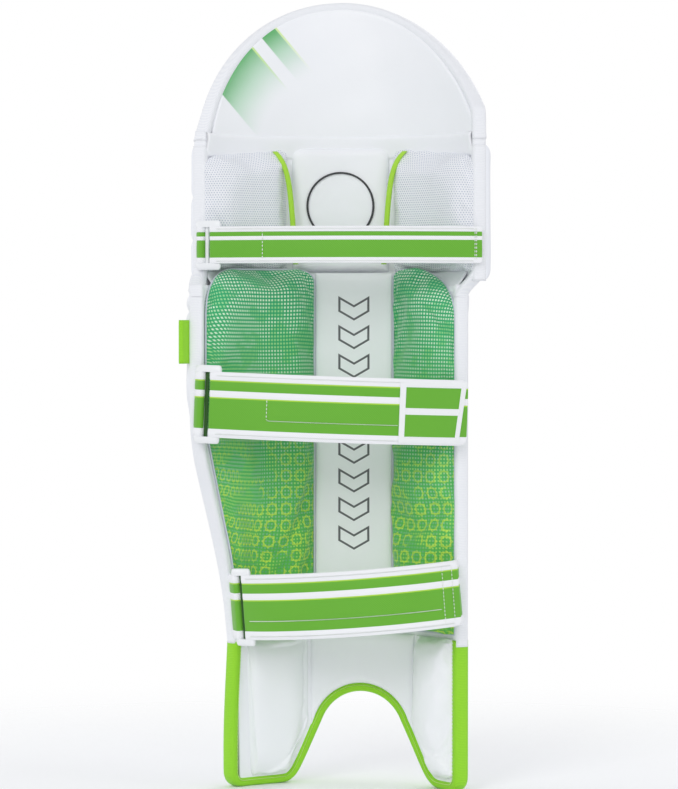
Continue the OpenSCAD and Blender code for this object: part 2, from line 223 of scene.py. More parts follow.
def grid_faces(nu, nv, start=0, flip=False):
    """Faces of a sheet of nu by nv cells whose points begin at number start."""
    faces = []
    for i in range(nu):
        for j in range(nv):
            q = (start + i * (nv + 1) + j, start + (i + 1) * (nv + 1) + j,
                 start + (i + 1) * (nv + 1) + j + 1, start + i * (nv + 1) + j + 1)
            faces.append(q[::-1] if flip else q)
    return faces


def slab_faces(n, m):
    """Faces of a slab of two sheets of n by m points: (face, column, row, whether it lies on the rim)."""
    out = []
    for i in range(n - 1):
        for j in range(m - 1):
            a = i * m + j
            q = (a, a + 1, a + m + 1, a + m)
            out += [(q[::-1], i, j, False), (tuple(n * m + k for k in q), i, j, False)]
        for j in (0, m - 1):
            a, b = i * m + j, n * m + i * m + j
            out.append(((a, b, b + m, a + m), i, j, True))
    for i in (0, n - 1):
        for j in range(m - 1):
            a, b = i * m + j, n * m + i * m + j
            out.append(((a, a + 1, b + 1, b), i, j, True))
    return out


def cloth_grid(p, z):
    """Distances over the surface in metres, so that a weave isn't stretched down a pad's sides."""
    nu, nv = p.shape[0] // 2, p.shape[1] // 2
    u = np.zeros(p.shape[:2])
    v = np.zeros(p.shape[:2])
    u[1:] = np.cumsum(np.linalg.norm(np.diff(p, axis=0), axis=2), axis=0)
    v[:, 1:] = np.cumsum(np.linalg.norm(np.diff(p, axis=1), axis=2), axis=1)
    return np.stack([u - u[nu][None], v - v[:, nv][:, None] + z[:, nv][:, None]], axis=-1)


def pad(name, body, material, place, height, base, out, counts, back=0.4 * MM, ease=(0.9, 0.9)):
    """Closed pad on the curved shell, laid out over a and b in -1..1: place(a, b) gives its angle and z, and
    height(a, b, angle, z) how far it swells, away from the leg axis if out is 1 and towards it if -1."""
    nu, nv = counts
    a, b = np.meshgrid(spread(nu, ease[0]), spread(nv, ease[1]), indexing="ij")
    angle, z = place(a, b)
    swell = height(a, b, angle, z)
    edge = np.maximum(np.abs(a), np.abs(b)) > 1 - 1e-9
    swell = np.where(edge, 0, swell)
    top = at(base + out * swell, angle, z)
    uv = cloth_grid(top, z).reshape(-1, 2)
    top = top.reshape(-1, 3)
    under = at(base - out * np.where(edge, 0, back), angle, z).reshape(-1, 3)
    faces = grid_faces(nu, nv, 0, out < 0) + grid_faces(nu, nv, len(top), out > 0)
    obj = new_object(name, np.vstack([top, under]), faces, None, material, uv=np.vstack([uv, uv]))
    tidy_mesh(obj)
    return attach(obj, body) if body else obj


def sweep(name, body, material, path, frames, profile, closed=False):
    """Sweeps a closed profile (across, up) along path; frames gives both directions at each point."""
    n, m = len(path), len(profile)
    verts = [p + f[0] * q[0] + f[1] * q[1] for p, f in zip(path, frames) for q in profile]
    faces = []
    for i in range(n if closed else n - 1):
        for j in range(m):
            k, l = (i + 1) % n, (j + 1) % m
            faces.append((i * m + j, k * m + j, k * m + l, i * m + l))
    if not closed:
        faces += [tuple(range(m))[::-1], tuple((n - 1) * m + j for j in range(m))]
    obj = new_object(name, verts, faces, None, material)
    tidy_mesh(obj, 1e-7)
    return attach(obj, body) if body else obj


def bulge(v, power):
    """A signed power, which squares off a circle's sine and cosine."""
    return math.copysign(abs(v) ** power, v)


def ring_profile(w, h, n=14, power=2.6):
    """Rounded closed profile, w across and h up."""
    out = []
    for i in range(n):
        t = 2 * math.pi * i / n
        out.append((bulge(math.cos(t), 2 / power) * w / 2, bulge(math.sin(t), 2 / power) * h / 2))
    return out


def resample(path, step):
    """The same line with points about step apart."""
    path = np.asarray(path, float)
    d = np.r_[0, np.cumsum(np.linalg.norm(np.diff(path, axis=0), axis=1))]
    n = max(2, int(round(d[-1] / step)) + 1)
    s = np.linspace(0, d[-1], n)
    return np.stack([np.interp(s, d, path[:, i]) for i in range(path.shape[1])], axis=1)


def stitches(name, body, material, lines, pitch=4.2 * MM, r=0.42 * MM):
    """Thread stitches as small bars. Each line is (points, outward normals)."""
    verts, faces = [], []
    for path, normals in lines:
        path, normals = np.asarray(path, float), np.asarray(normals, float)
        both = resample(np.hstack([path, normals]), pitch)
        for p, q in zip(both[:-1], both[1:]):
            a, n = p[:3], p[3:] / np.linalg.norm(p[3:])
            d = q[:3] - a
            side = np.cross(d, n)
            side /= max(np.linalg.norm(side), 1e-12)
            k = len(verts)
            for t, s in ((0, 0.5), (0.25, 1), (0.75, 1), (1, 0.5)):
                c = a + d * 0.62 * t + n * r * (0.25 if s < 1 else 0.75)
                for u, v in ((1, 0), (0, 1), (-1, 0), (0, -1)):
                    verts.append(c + side * r * s * u + n * r * s * v)
            for i in range(3):
                for j in range(4):
                    l = (j + 1) % 4
                    faces.append((k + 4 * i + j, k + 4 * i + l, k + 4 * i + 4 + l, k + 4 * i + 4 + j))
            faces += [(k + 3, k + 2, k + 1, k), (k + 12, k + 13, k + 14, k + 15)]
    return new_object(name, verts, faces, body, material)


# ---------- materials ----------

def math_node(op, swapped=False):
    """An operator of Value that adds a math node."""
    if swapped:
        return lambda self, other: self.m.math(op, other, self)
    return lambda self, other: self.m.math(op, self, other)


class Value:
    """A node's output; arithmetic on it adds math nodes to its material."""

    __add__, __mul__, __truediv__ = math_node("ADD"), math_node("MULTIPLY"), math_node("DIVIDE")
    __sub__, __rsub__ = math_node("SUBTRACT"), math_node("SUBTRACT", True)

    def __init__(self, m, socket):
        self.m, self.socket = m, socket

    def __abs__(self):
        return self.m.math("ABSOLUTE", self)


class Nodes:
    """Short way to build a material's node tree."""

    def __init__(self, name):
        self.mat = bpy.data.materials.new(name)
        self.mat.use_nodes = True
        self.tree = self.mat.node_tree
        self.bsdf = self.tree.nodes["Principled BSDF"]
        self.coords = self.tree.nodes.new("ShaderNodeTexCoord")

    def add(self, kind, inputs=None, **props):
        n = self.tree.nodes.new("ShaderNode" + kind)
        for k, v in props.items():
            setattr(n, k, v)
        for k, v in (inputs or {}).items():
            self.put(n.inputs[k], v)
        return n

    def put(self, socket, v):
        v = getattr(v, "socket", v)
        if isinstance(v, bpy.types.NodeSocket):
            self.tree.links.new(v, socket)
        else:
            socket.default_value = v

    def math(self, op, a, b=0.0, c=0.0, clamp=False):
        n = self.add("Math", {0: a, 1: b, 2: c}, operation=op)
        n.use_clamp = clamp
        return Value(self, n.outputs[0])

    def line(self, v, slope, start):
        """start + slope * v"""
        return self.math("MULTIPLY_ADD", v, slope, start)

    def cell(self, v, size):
        """Distance from the middle of the cell that v lies in, as a share of the cell's size."""
        return abs(self.math("FRACT", v / size) - 0.5)

    def mix(self, fac, a, b):
        n = self.add("Mix", {0: fac}, data_type="RGBA")
        self.put(n.inputs[6], a)
        self.put(n.inputs[7], b)
        return Value(self, n.outputs[2])

    def step(self, v, edge, soft):
        """0 below the edge and 1 above it, over a soft width."""
        n = self.add("MapRange", {0: v, 1: edge - soft, 2: edge + soft, 3: 0.0, 4: 1.0})
        n.interpolation_type = "SMOOTHSTEP"
        return Value(self, n.outputs[0])

    def noise(self, scale, detail=3.0, rough=0.5):
        n = self.add("TexNoise", {"Scale": scale, "Detail": detail, "Roughness": rough,
                                  "Vector": self.coords.outputs["Object"]})
        return Value(self, n.outputs["Fac"])

    def split(self, coords="Object"):
        s = self.add("SeparateXYZ", {0: self.coords.outputs[coords]})
        return [Value(self, s.outputs[i]) for i in range(3)]

    def wrap(self, radius):
        """Coordinates laid flat round the leg axis: arc length and height."""
        x, y, z = self.split()
        return self.math("ARCTAN2", x, y * -1.0) * radius, z

    def bump(self, heights, strength):
        """Chains bumps: each is (height, distance in metres)."""
        last = None
        for h, d in heights:
            n = self.add("Bump", {"Strength": strength, "Distance": d, "Height": h})
            if last:
                self.put(n.inputs["Normal"], last)
            last = n.outputs["Normal"]
        self.put(self.bsdf.inputs["Normal"], last)

    def finish(self, color, rough, sheen=0.0, spec=0.5):
        for name, v in (("Base Color", color), ("Roughness", rough), ("Specular IOR Level", spec)):
            self.put(self.bsdf.inputs[name], v)
        if sheen:
            self.put(self.bsdf.inputs["Sheen Weight"], sheen)
            self.put(self.bsdf.inputs["Sheen Roughness"], 0.4)
        return self.mat


def rgb(r, g, b):
    """sRGB 0..255 to a linear colour."""
    linear = [(c / 255) / 12.92 if c <= 10 else ((c / 255 + 0.055) / 1.055) ** 2.4 for c in (r, g, b)]
    return (*linear, 1)


WHITE = rgb(245, 246, 249)
COOL_WHITE = rgb(233, 236, 243)


def synthetic_leather(name, color, shade, grain=1100.0):
    """Coated white cover with a pebbled grain and a little grime."""
    m = Nodes(name)
    tint = m.mix(m.noise(9.0, 4.0) * 0.55, color, shade)
    grime = m.step(m.noise(60.0, 6.0, 0.7), 0.66, 0.08)
    tint = m.mix(grime * 0.06, tint, rgb(190, 188, 182))
    cells = m.add("TexVoronoi", {"Scale": grain, "Vector": m.coords.outputs["Object"]},
                  feature="DISTANCE_TO_EDGE")
    pore = m.step(cells.outputs["Distance"], 0.10, 0.10)
    m.bump([(pore, 0.00009), (m.noise(140.0, 4.0), 0.0005)], 0.45)
    return m.finish(tint, m.line(m.noise(35.0, 3.0), 0.16, 0.38), sheen=0.08, spec=0.42)


def lining_tint(m, color, shade):
    """Faint clouds over a smooth cloth."""
    return m.mix(m.noise(7.0, 3.0) * 0.6, color, shade)


def lining_bump(m, x, z):
    """Fine plain weave."""
    fine = m.math("SINE", x * 7000.0) + m.math("SINE", z * 7000.0)
    m.bump([(fine, 0.00003), (m.noise(90.0, 3.0), 0.0005)], 0.4)


def smooth_lining(name, color, shade):
    m = Nodes(name)
    lining_bump(m, *m.wrap(0.13))
    return m.finish(lining_tint(m, color, shade), m.line(m.noise(50.0), 0.12, 0.42), sheen=0.15)


def white_mesh(name, color, shade):
    """Air mesh: rows of small round holes, each row shifted half a cell."""
    m = Nodes(name)
    x, z, _ = m.split("UV")
    cell = 2.6 * MM
    high = cell * 0.8
    shift = m.math("MODULO", abs(m.math("FLOOR", z / high)), 2.0) * (cell / 2)
    fx = m.math("FRACT", (x + shift) / cell) - 0.5
    fz = m.math("FRACT", z / high) - 0.5
    solid = m.step(m.math("SQRT", fx * fx + fz * fz), 0.27, 0.09)
    m.bump([(solid, 0.0006), (m.noise(60.0, 3.0), 0.0006)], 0.6)
    # Painted shade in the holes: they take the darker shade colour, the mesh between them the full colour.
    return m.finish(m.mix(solid, shade, color), 0.75, sheen=0.3, spec=0.25)


def printed_mesh(name, bottom, top):
    """Spacer mesh printed in greens: pale dots on teal at the top, teal dots and lime lines lower down."""
    m = Nodes(name)
    x, z, _ = m.split("UV")
    cell, motif = 3.3 * MM, 15.0 * MM
    up = m.math("DIVIDE", z - bottom, top - bottom, clamp=True)
    far = m.math("MAXIMUM", m.cell(x, cell), m.cell(z, cell))
    dot = 1.0 - m.step(far - m.line(up, 0.09, 0.19), 0.0, 0.06)
    ground = m.mix(up, rgb(112, 204, 78), rgb(50, 182, 122))
    dots = m.mix(up, rgb(28, 152, 100), rgb(222, 246, 220))
    patches = m.step(m.noise(55.0, 2.0), 0.54, 0.05)
    dots = m.mix(patches, dots, m.mix(up, rgb(178, 222, 82), rgb(150, 216, 160)))
    tint = m.mix(dot, ground, dots)
    gx, gz = m.cell(x, motif), m.cell(z, motif)
    diamond = abs(gx + gz - 0.42)
    square = abs(m.math("MAXIMUM", gx, gz) - 0.3)
    line = 1.0 - m.step(m.math("MINIMUM", diamond, square), 0.035, 0.02)
    low = 1.0 - m.step(up, 0.5, 0.3)
    line = line * low * m.step(m.noise(38.0, 1.0), 0.4, 0.06)
    tint = m.mix(line * 0.95, tint, rgb(204, 236, 84))
    hole = m.step(far, 0.36, 0.1)
    # Painted shade in the mesh holes: each hole is darkened towards deep teal.
    tint = m.mix(hole * 0.18, tint, rgb(20, 104, 80))
    m.bump([(1.0 - hole, 0.0007), (m.noise(70.0, 3.0), 0.0007)], 0.6)
    return m.finish(tint, 0.68, sheen=0.25, spec=0.3)


def ribbed_tape(name, color, shade):
    """Woven edge tape with fine slanted ribs."""
    m = Nodes(name)
    x, z = m.wrap(0.13)
    rib = m.line(m.math("SINE", (x + z) * (2 * math.pi / (1.5 * MM))), 0.5, 0.5)
    tint = m.mix(rib * 0.5, color, shade)
    tint = m.mix(m.noise(30.0) * 0.35, tint, shade)
    m.bump([(rib, 0.00022)], 0.6)
    return m.finish(tint, 0.6, sheen=0.25, spec=0.35)


def strap_cloth(name, color, shade, pitch=2.1 * MM):
    """Twill webbing; its coordinates are the strap's own length and width."""
    m = Nodes(name)
    u, v, _ = m.split("UV")
    k = 2 * math.pi / pitch
    h = m.line(m.math("SINE", (u + v) * k) + m.math("SINE", (u - v) * (k * 2)) * 0.4, 0.35, 0.5)
    # Painted shade in the weave: the twill's low parts take the shade colour, its raised threads the full
    # colour.
    tint = m.mix(m.line(h, 0.7, 0.2), shade, color)
    tint = m.mix(m.noise(26.0, 4.0) * 0.3, tint, shade)
    m.bump([(h, 0.00016), (m.noise(80.0), 0.0004)], 0.5)
    return m.finish(tint, 0.56, sheen=0.2, spec=0.35)


def moulded(name, color, rough=0.34):
    """Moulded plastic with faint scuffs; thread and print use it rougher."""
    m = Nodes(name)
    scuff = m.noise(260.0, 6.0, 0.75)
    tint = m.mix(m.step(scuff, 0.62, 0.06) * 0.12, color, rgb(200, 202, 206))
    m.bump([(m.noise(900.0, 2.0), 0.00005)], 0.3)
    return m.finish(tint, m.line(scuff, 0.2, rough - 0.1))


def pile(name, color, shade):
    """Hook or loop tape."""
    m = Nodes(name)
    f = m.noise(2400.0, 2.0)
    m.bump([(f, 0.0005)], 0.8)
    # Painted shade in the pile: its low points take the shade colour, its high points the full colour.
    return m.finish(m.mix(f, shade, color), 0.9, sheen=0.4, spec=0.1)


def chevron_lining(name, color, shade, ink, r, bottom, top, middle):
    """Smooth lining with a plain column of outlined chevrons."""
    m = Nodes(name)
    x, z = m.wrap(r)
    side = abs(x - middle * r)
    pitch, half, stroke = 27 * MM, 15.5 * MM, 1.1 * MM
    rise = m.line(side, -0.55, z - bottom) / pitch
    band = abs(m.math("FRACT", rise) - 0.5)
    solid = m.math("MINIMUM", (0.27 - band) * pitch, half - side)
    edge = 1.0 - m.step(abs(solid - stroke), stroke, 0.25 * MM)
    row = m.math("FLOOR", rise)
    counted = m.step(row, -0.5, 0.1) * (1.0 - m.step(row, math.floor((top - bottom) / pitch) - 0.5, 0.1))
    lining_bump(m, x, z)
    tint = m.mix(edge * counted * 0.92, lining_tint(m, color, shade), ink)
    return m.finish(tint, m.line(m.noise(50.0), 0.12, 0.42), sheen=0.15)


def gradient_lining(name, color, shade):
    """Smooth lining with a print at the top hat's outer shoulder: two slanted green bands with a white stripe
    and thin lime edges, dark at the rim and fading towards the middle."""
    m = Nodes(name)
    x, _, z = m.split()
    lean = math.radians(40.5)
    dx, dz = x - DOME_X, z - DOME_Z
    # across the bands, from the lower one's outer side upwards
    across = dz * math.sin(lean) - dx * math.cos(lean)
    ex, ez = dx / DOME_W, dz / DOME_H
    rim = m.math("SQRT", ex * ex + ez * ez)
    cloud = (m.noise(22.0, 4.0) - 0.5) * 0.05
    deep = m.step(rim + cloud, 0.93, 0.12)
    strength = m.step(rim + cloud, 0.80, 0.20)
    green = m.mix(deep, rgb(150, 208, 164), rgb(56, 160, 70))
    low, low_end, high, high_end, lime = -40.5 * MM, 10.5 * MM, 22.5 * MM, 38 * MM, 1.6 * MM

    def between(lo, hi):
        return m.step(across, lo, 0.6 * MM) * (1.0 - m.step(across, hi, 0.6 * MM))

    lining = lining_tint(m, color, shade)
    bands = between(low, low_end) + between(high, high_end)
    lines = between(low_end - lime, low_end) + between(high_end, high_end + lime)
    body = m.mix(bands * strength, lining, green)
    body = m.mix(lines * strength, body, rgb(208, 236, 150))
    m.bump([(m.noise(90.0, 3.0), 0.0005)], 0.4)
    tint = m.mix(m.step(x, DOME_X, 0.01), lining, body)
    return m.finish(tint, m.line(m.noise(50.0), 0.12, 0.4), sheen=0.12)


# ---------- measures read from the frame ----------

SHIN_R = span("shin_facing")[1]
LINING_R = span("shin_lining")[0]
KNEE_R = span("knee_facing")[1]
KNEE_IN = span("knee_lining")[0]
SHIN = span("shin_binding")
KNEE = span("knee_facing")
HAT = span("hat_binding")
SHIN_A0, SHIN_A1, SHIN_TOP = SHIN[2], SHIN[3], SHIN[5]
BOLSTER_R = span("channel_strip")[1]
KNEE_PAD_R = span("knee_panel")[1]
TAPE_W = 9 * MM
SHEET_T = 1.5 * MM
SHIN_ROOF = SHIN_TOP - 1 * MM
SHIN_FACE, KNEE_FACE = SHIN_R + 0.2 * MM, KNEE_R + 0.2 * MM
# (inset from the shell's edge, thickness) of the folded tapes
FOOT_TAPE, EDGE_TAPE = (3.6 * MM, 14.5 * MM), (3.2 * MM, 13.5 * MM)
ROLLS = ("knee_roll_bottom", "knee_roll_middle", "knee_roll_top")
# Where each roll is tacked down, over -1..1 of its length
ROLL_TACKS = (-0.76, -0.4, -0.04, 0.32, 0.68)

# Arch over the shoe: a round top that runs straight into legs that splay to the floor
ARCH_X, ARCH_R, ARCH_Z, ARCH_FOOT = -28 * MM, 42 * MM, 45 * MM, 66 * MM
ARCH_TURN = math.radians(18)
# The outer edge of the shin section: width from the leg axis against height
EDGE_X = np.array([92, 98, 98, 94.5, 98, 105, 115, 125, 131, 134]) * MM
EDGE_Z = np.array([0, 14, 60, 138, 178, 222, 272, 325, 370, 470]) * MM
# The dome of the top hat
DOME_X, DOME_Z, DOME_W = -10 * MM, HAT[5] - 158 * MM, 133 * MM
DOME_H = HAT[5] - DOME_Z


def arch_floor(x, grow):
    """Height of the arch's edge over x, grown by grow; 0 beyond its feet."""
    d = np.abs(x - ARCH_X)
    r = ARCH_R + grow
    circle = ARCH_Z + np.sqrt(np.clip(r * r - d * d, 0, None))
    side, high = r * math.cos(ARCH_TURN), ARCH_Z + r * math.sin(ARCH_TURN)
    leg = high * (1 - (d - side) / (ARCH_FOOT + grow - side))
    return np.clip(np.where(d < side, circle, leg), 0, None)


def edge_floor(x, inset):
    """Height above which the outer edge lies beyond x."""
    wide = EDGE_X[3:] - inset
    return np.where(x <= wide[0], 0, np.interp(x, wide, EDGE_Z[3:]))


def shin_floor(angle, r, inset, low=0.0):
    """Lower edge of a shin layer: every layer is cut square to the shell, at the middle of its thickness."""
    x = (LINING_R + SHIN_R) / 2 * np.sin(np.radians(angle))
    heel = inset + np.maximum(corner(angle, SHIN_A0, r, 15 * MM, 13 * MM), foot_corner(x))
    heel = np.where(heel > inset + 1e-6, heel, 0)
    return np.maximum(np.maximum(arch_floor(x, inset), edge_floor(x, inset)), np.maximum(low, heel))


def foot_corner(x):
    """How far the outer foot's lower corner is rounded off at x."""
    d = np.clip(1 - (EDGE_X[1] - x) / (15 * MM), 0, 1)
    return np.where(x < EDGE_X[1] + 1 * MM, 13 * MM * (1 - np.sqrt(1 - d * d)), 0)


def hat_roof(angle, inset):
    """Upper edge of a top hat layer: a dome that is a little squarer on the outer side."""
    x = (KNEE_IN + KNEE_R) / 2 * np.sin(np.radians(angle))
    t = np.clip(np.abs(x - DOME_X) / (DOME_W - inset), 0, 1)
    p = np.where(x > DOME_X, 2.16, 2.0)
    return DOME_Z + (DOME_H - inset) * (1 - t ** p) ** (1 / p)


def ease_in(distance, length):
    """Quarter-round rise from 0 at the edge to 1 at length."""
    t = np.clip(distance / length, 0, 1)
    return np.sqrt(np.clip(1 - (1 - t) ** 2, 0, 1))


def groove(distance, width):
    """1 on a seam, falling to 0 at about its width."""
    return np.exp(-(distance / width) ** 2)


def columns(a0, a1, floor, roof):
    """Pad layout whose columns run from floor(angle) to roof(angle)."""
    def place(a, b):
        angle = a0 + (a1 - a0) * (a + 1) / 2
        low, high = floor(angle), roof(angle)
        return angle, low + (high - low) * (b + 1) / 2
    return place


def level(v):
    """A lower or upper edge that is level all the way round."""
    return lambda angle: 0 * angle + v


def to_edge(z, angle, floor, roof):
    """Distance to the nearer of a pad's lower and upper edge."""
    return np.minimum(z - floor(angle), roof(angle) - z)


# ---------- the materials used ----------

PU = synthetic_leather("white_leather", WHITE, rgb(228, 232, 242))
PU_KNEE = synthetic_leather("knee_leather", rgb(242, 244, 249), rgb(229, 233, 243), grain=900.0)
LINING = smooth_lining("white_lining", WHITE, COOL_WHITE)
HAT_LINING = gradient_lining("printed_lining", WHITE, COOL_WHITE)
CHANNEL = chevron_lining("channel_lining", WHITE, COOL_WHITE, rgb(52, 54, 60), BOLSTER_R,
                         span("channel_strip")[4] + 68 * MM, span("channel_strip")[5] - 23 * MM,
                         math.radians(span("channel_strip")[2] + span("channel_strip")[3]) / 2)
BOLSTER = printed_mesh("green_mesh", span("bolster_outer")[4], span("bolster_outer")[5])
# Its second colour is the painted shade in the mesh holes.
AIR_MESH = white_mesh("white_air_mesh", rgb(240, 242, 247), rgb(196, 202, 216))
LIME = ribbed_tape("lime_tape", rgb(158, 222, 44), rgb(122, 200, 34))
WHITE_TAPE = ribbed_tape("white_tape", rgb(245, 246, 249), rgb(228, 231, 239))
GREEN = strap_cloth("green_webbing", rgb(119, 191, 58), rgb(86, 161, 38))
# Dark green for the calf and ankle buckle slot fills: painted shadow in the slot; at the ankle it also stands
# for the green mesh seen through the slot, painted in shade.
SLOT_SHADOW_GREEN = strap_cloth("buckle_slot_shadow_green", rgb(50, 106, 30), rgb(20, 52, 16))
WHITE_WEB = strap_cloth("white_webbing", rgb(250, 250, 252), rgb(232, 234, 240), pitch=2.2 * MM)
LIME_LINE = strap_cloth("lime_webbing", rgb(192, 232, 80), rgb(160, 210, 60))
PLASTIC = moulded("white_plastic", rgb(238, 240, 243))
THREAD = moulded("thread", rgb(236, 240, 236), rough=0.6)
LIME_THREAD = moulded("tape_thread", rgb(206, 238, 140), rough=0.6)
PIPING = ribbed_tape("lime_piping", rgb(182, 230, 72), rgb(150, 210, 52))
GREY_THREAD = moulded("seam_thread", rgb(205, 210, 222), rough=0.6)
LOOP = pile("loop_pile", rgb(236, 238, 242), rgb(190, 194, 204))
HOOK = pile("hook_tape", rgb(60, 64, 70), rgb(24, 26, 30))
INK = moulded("ring_print", rgb(44, 46, 50), rough=0.5)


# ---------- front of the shin ----------

def rib_drift(angle, z):
    """The ribs lean slightly outwards towards the instep."""
    t = np.clip((0.44 - z) / 0.28, 0, 1)
    return 2.6 * t * t * (3 - 2 * t) * np.clip(1 - np.abs(angle + 13) / 46, 0, 1)


def side_folds(a, z, seed, ends=1.0):
    """Fine gathers beside the seams of a rib."""
    gather = np.abs(a) ** 5 * (1 - np.abs(a) ** 12) * ends
    return gather * 0.5 * MM * np.sin(z / (2.1 * MM) + 3 * ripple(0 * z, z, seed, 30 * MM))


def shin_ribs():
    parts = islands("shin_ribs")
    middles = [(s[2] + s[3]) / 2 for s in parts]
    pitch = (middles[-1] - middles[0]) / (len(parts) - 1)
    crease_z = SHIN_TOP - 33 * MM
    for i, s in enumerate(parts):
        mid = middles[0] + pitch * i
        short = s[4] > 0.1
        low = s[4] - 4 * MM if short else 12 * MM

        def floor(angle):
            return shin_floor(angle, SHIN_R, TAPE_W, low)

        def place(a, b):
            angle = mid + a * pitch * 0.502
            z0 = floor(angle)
            z = z0 + (SHIN_ROOF - z0) * (b + 1) / 2
            return angle + rib_drift(angle, z), z

        def height(a, b, angle, z):
            flat = mid + a * pitch * 0.5
            ends = ease_in(z - floor(flat), 13 * MM) * ease_in(SHIN_ROOF - z, 12 * MM)
            body = dome(a, 2.5, 1.9)
            h = 15.2 * MM * body * ends
            # a crease across the rib, fuller padding above it, then the cover's slackness
            h *= 1 - 0.62 * groove(z - crease_z - 1.5 * MM * np.sin(flat), 4.5 * MM)
            h *= 1 + 0.09 * np.clip((z - crease_z) / (10 * MM), 0, 1)
            h += body * (0.55 * MM * ripple(angle * 2.2 * MM, z, 11 + i, 60 * MM)
                         + 0.22 * MM * ripple(angle * 2.4 * MM, z, 31 + i, 17 * MM))
            return np.clip(h + side_folds(a, z, 5 + i), 0, None)

        obj = pad(f"shin_rib_{i + 1}", "shin_section", PU, place, height, SHIN_FACE, 1, (22, 230))
        done(obj, "facing_white", *(("shin_ribs", "shin_rib_cores", "cane_rods") if i == 0 else ()))


def instep():
    s = span("instep_panel")
    roof_z = s[5] + 1 * MM

    def floor(angle):
        return shin_floor(angle, SHIN_R, TAPE_W - 2 * MM)

    def place(a, b):
        angle = s[2] - 0.4 + (s[3] - s[2] + 0.8) * (a + 1) / 2
        z0 = floor(angle)
        z = z0 + (roof_z - z0) * (b + 1) / 2
        return angle + rib_drift(angle, z) * np.clip((z - 0.09) / 0.07, 0, 1), z

    def height(a, b, angle, z):
        rise = ease_in(z - floor(angle), 9 * MM) * ease_in(roof_z - z, 8 * MM)
        h = 7 * MM * dome(a, 7, 2) * rise * (0.86 + 0.14 * dome(a, 2))
        return h + 0.5 * MM * dome(a, 4) * rise * ripple(angle * 2.4 * MM, z, 71, 34 * MM)

    obj = pad("instep_pad", "shin_section", PU, place, height, SHIN_FACE, 1, (70, 70))
    done(obj, "facing_white", "instep_panel")


def wing_seams(angle, z):
    """Distance to the nearest quilting seam of the side wing."""
    s = (angle - 34) * 2.4 * MM
    far = np.full(np.shape(z), 1.0)
    for z0, slope, bend in ((0.452, 0.25, 0.0), (0.424, 0.42, 0.0), (0.398, 0.55, 0.0), (0.345, 0.62, 3.0)):
        line = z0 + slope * s + bend * s * s
        far = np.minimum(far, np.abs(z - line) / math.hypot(1, slope))
    return far


def side_wing():
    a0, a1 = span("side_wing")[2] - 0.3, SHIN_A1 - 1.2

    def floor(angle):
        return shin_floor(angle, SHIN_R, TAPE_W - 2 * MM, 8 * MM)

    def height(a, b, angle, z):
        gap = z - floor(angle)
        h = 9.5 * MM * dome(a, 6, 2.2) * ease_in(gap, 16 * MM) * ease_in(SHIN_ROOF - z, 9 * MM)
        h *= 1 - 0.5 * groove(wing_seams(angle, z), 3.2 * MM)
        h += dome(a, 4) * ease_in(gap, 20 * MM) * (0.9 * MM * ripple(angle * 2.4 * MM, z, 81, 55 * MM)
                                                  + 0.25 * MM * ripple(angle * 2.4 * MM, z, 82, 16 * MM))
        return np.clip(h, 0, None)

    place = columns(a0, a1, floor, level(SHIN_ROOF))
    obj = pad("side_wing_pad", "shin_section", PU, place, height, SHIN_FACE, 1, (90, 240))
    done(obj, "facing_white", "side_wing", "wing_foam")


def shell_sheet(name, body, material, face, out, sides, floor, roof, counts, slot, hides,
                thick=SHEET_T, waves=0.3 * MM, seed=1):
    """One layer of the curved shell, with a rolled edge. face is the radius of its face for the usual
    thickness, and sides holds its least and greatest angle."""
    def height(a, b, angle, z):
        edge = thick * dome(a, 12, 2) * ease_in(to_edge(z, angle, floor, roof), 5 * MM)
        return edge + waves * dome(a, 6) * dome(b, 6) * ripple(angle * 2.3 * MM, z, seed, 60 * MM)

    place, base = columns(*sides, floor, roof), face - out * SHEET_T
    done(pad(name, body, material, place, height, base, out, counts, back=thick * 0.6), slot, *hides)


def shin_layers():
    sides = (SHIN_A0 + 1, SHIN_A1 - 1)
    outer = lambda angle: shin_floor(angle, SHIN_R, 3 * MM, 2 * MM)
    inner = lambda angle: shin_floor(angle, LINING_R, 3 * MM, 2 * MM)
    shell_sheet("shin_face_sheet", "shin_section", PU, SHIN_R, 1, sides, outer, level(SHIN_ROOF),
                (120, 120), "facing_white", ("shin_facing", "shin_foam_sheet"))
    shell_sheet("shin_inner_sheet", "shin_section", LINING, LINING_R, -1, sides, inner,
                level(SHIN_ROOF), (120, 120), "lining_white", ("shin_lining",), seed=2)


def smooth_path(path):
    """Rounds a path's corners by cutting them three times."""
    p = np.asarray(path, float)
    for _ in range(3):
        q = np.empty((2 * (len(p) - 1), p.shape[1]))
        q[0::2] = 0.75 * p[:-1] + 0.25 * p[1:]
        q[1::2] = 0.25 * p[:-1] + 0.75 * p[1:]
        p = np.vstack([p[:1], q, p[-1:]])
    return p


def beside(path, inset):
    """A smoothed line of (arc length, height) moved to its left by inset, and its left-hand directions."""
    flat = resample(smooth_path(path), 3 * MM)
    d = np.gradient(flat, axis=0)
    d /= np.linalg.norm(d, axis=1)[:, None]
    left = np.stack([-d[:, 1], d[:, 0]], axis=1)
    return flat + left * inset, left


def edge_tape(name, body, material, path, r, inset, thick, slot, *hides):
    """Tape folded over the shell's edge. path holds (arc length, height) at radius r, inside to its left."""
    verts, frames = [], []
    for (s, z), (ls, lz) in zip(*beside(path, inset)):
        a = s / r
        radial = np.array([math.sin(a), -math.cos(a), 0])
        along = np.array([math.cos(a), math.sin(a), 0])
        verts.append(radial * r + np.array([0, 0, z]))
        frames.append((along * ls + np.array([0, 0, lz]), radial))
    done(sweep(name, body, material, verts, frames, ring_profile(TAPE_W, thick, 18, 3.2)), slot, *hides)


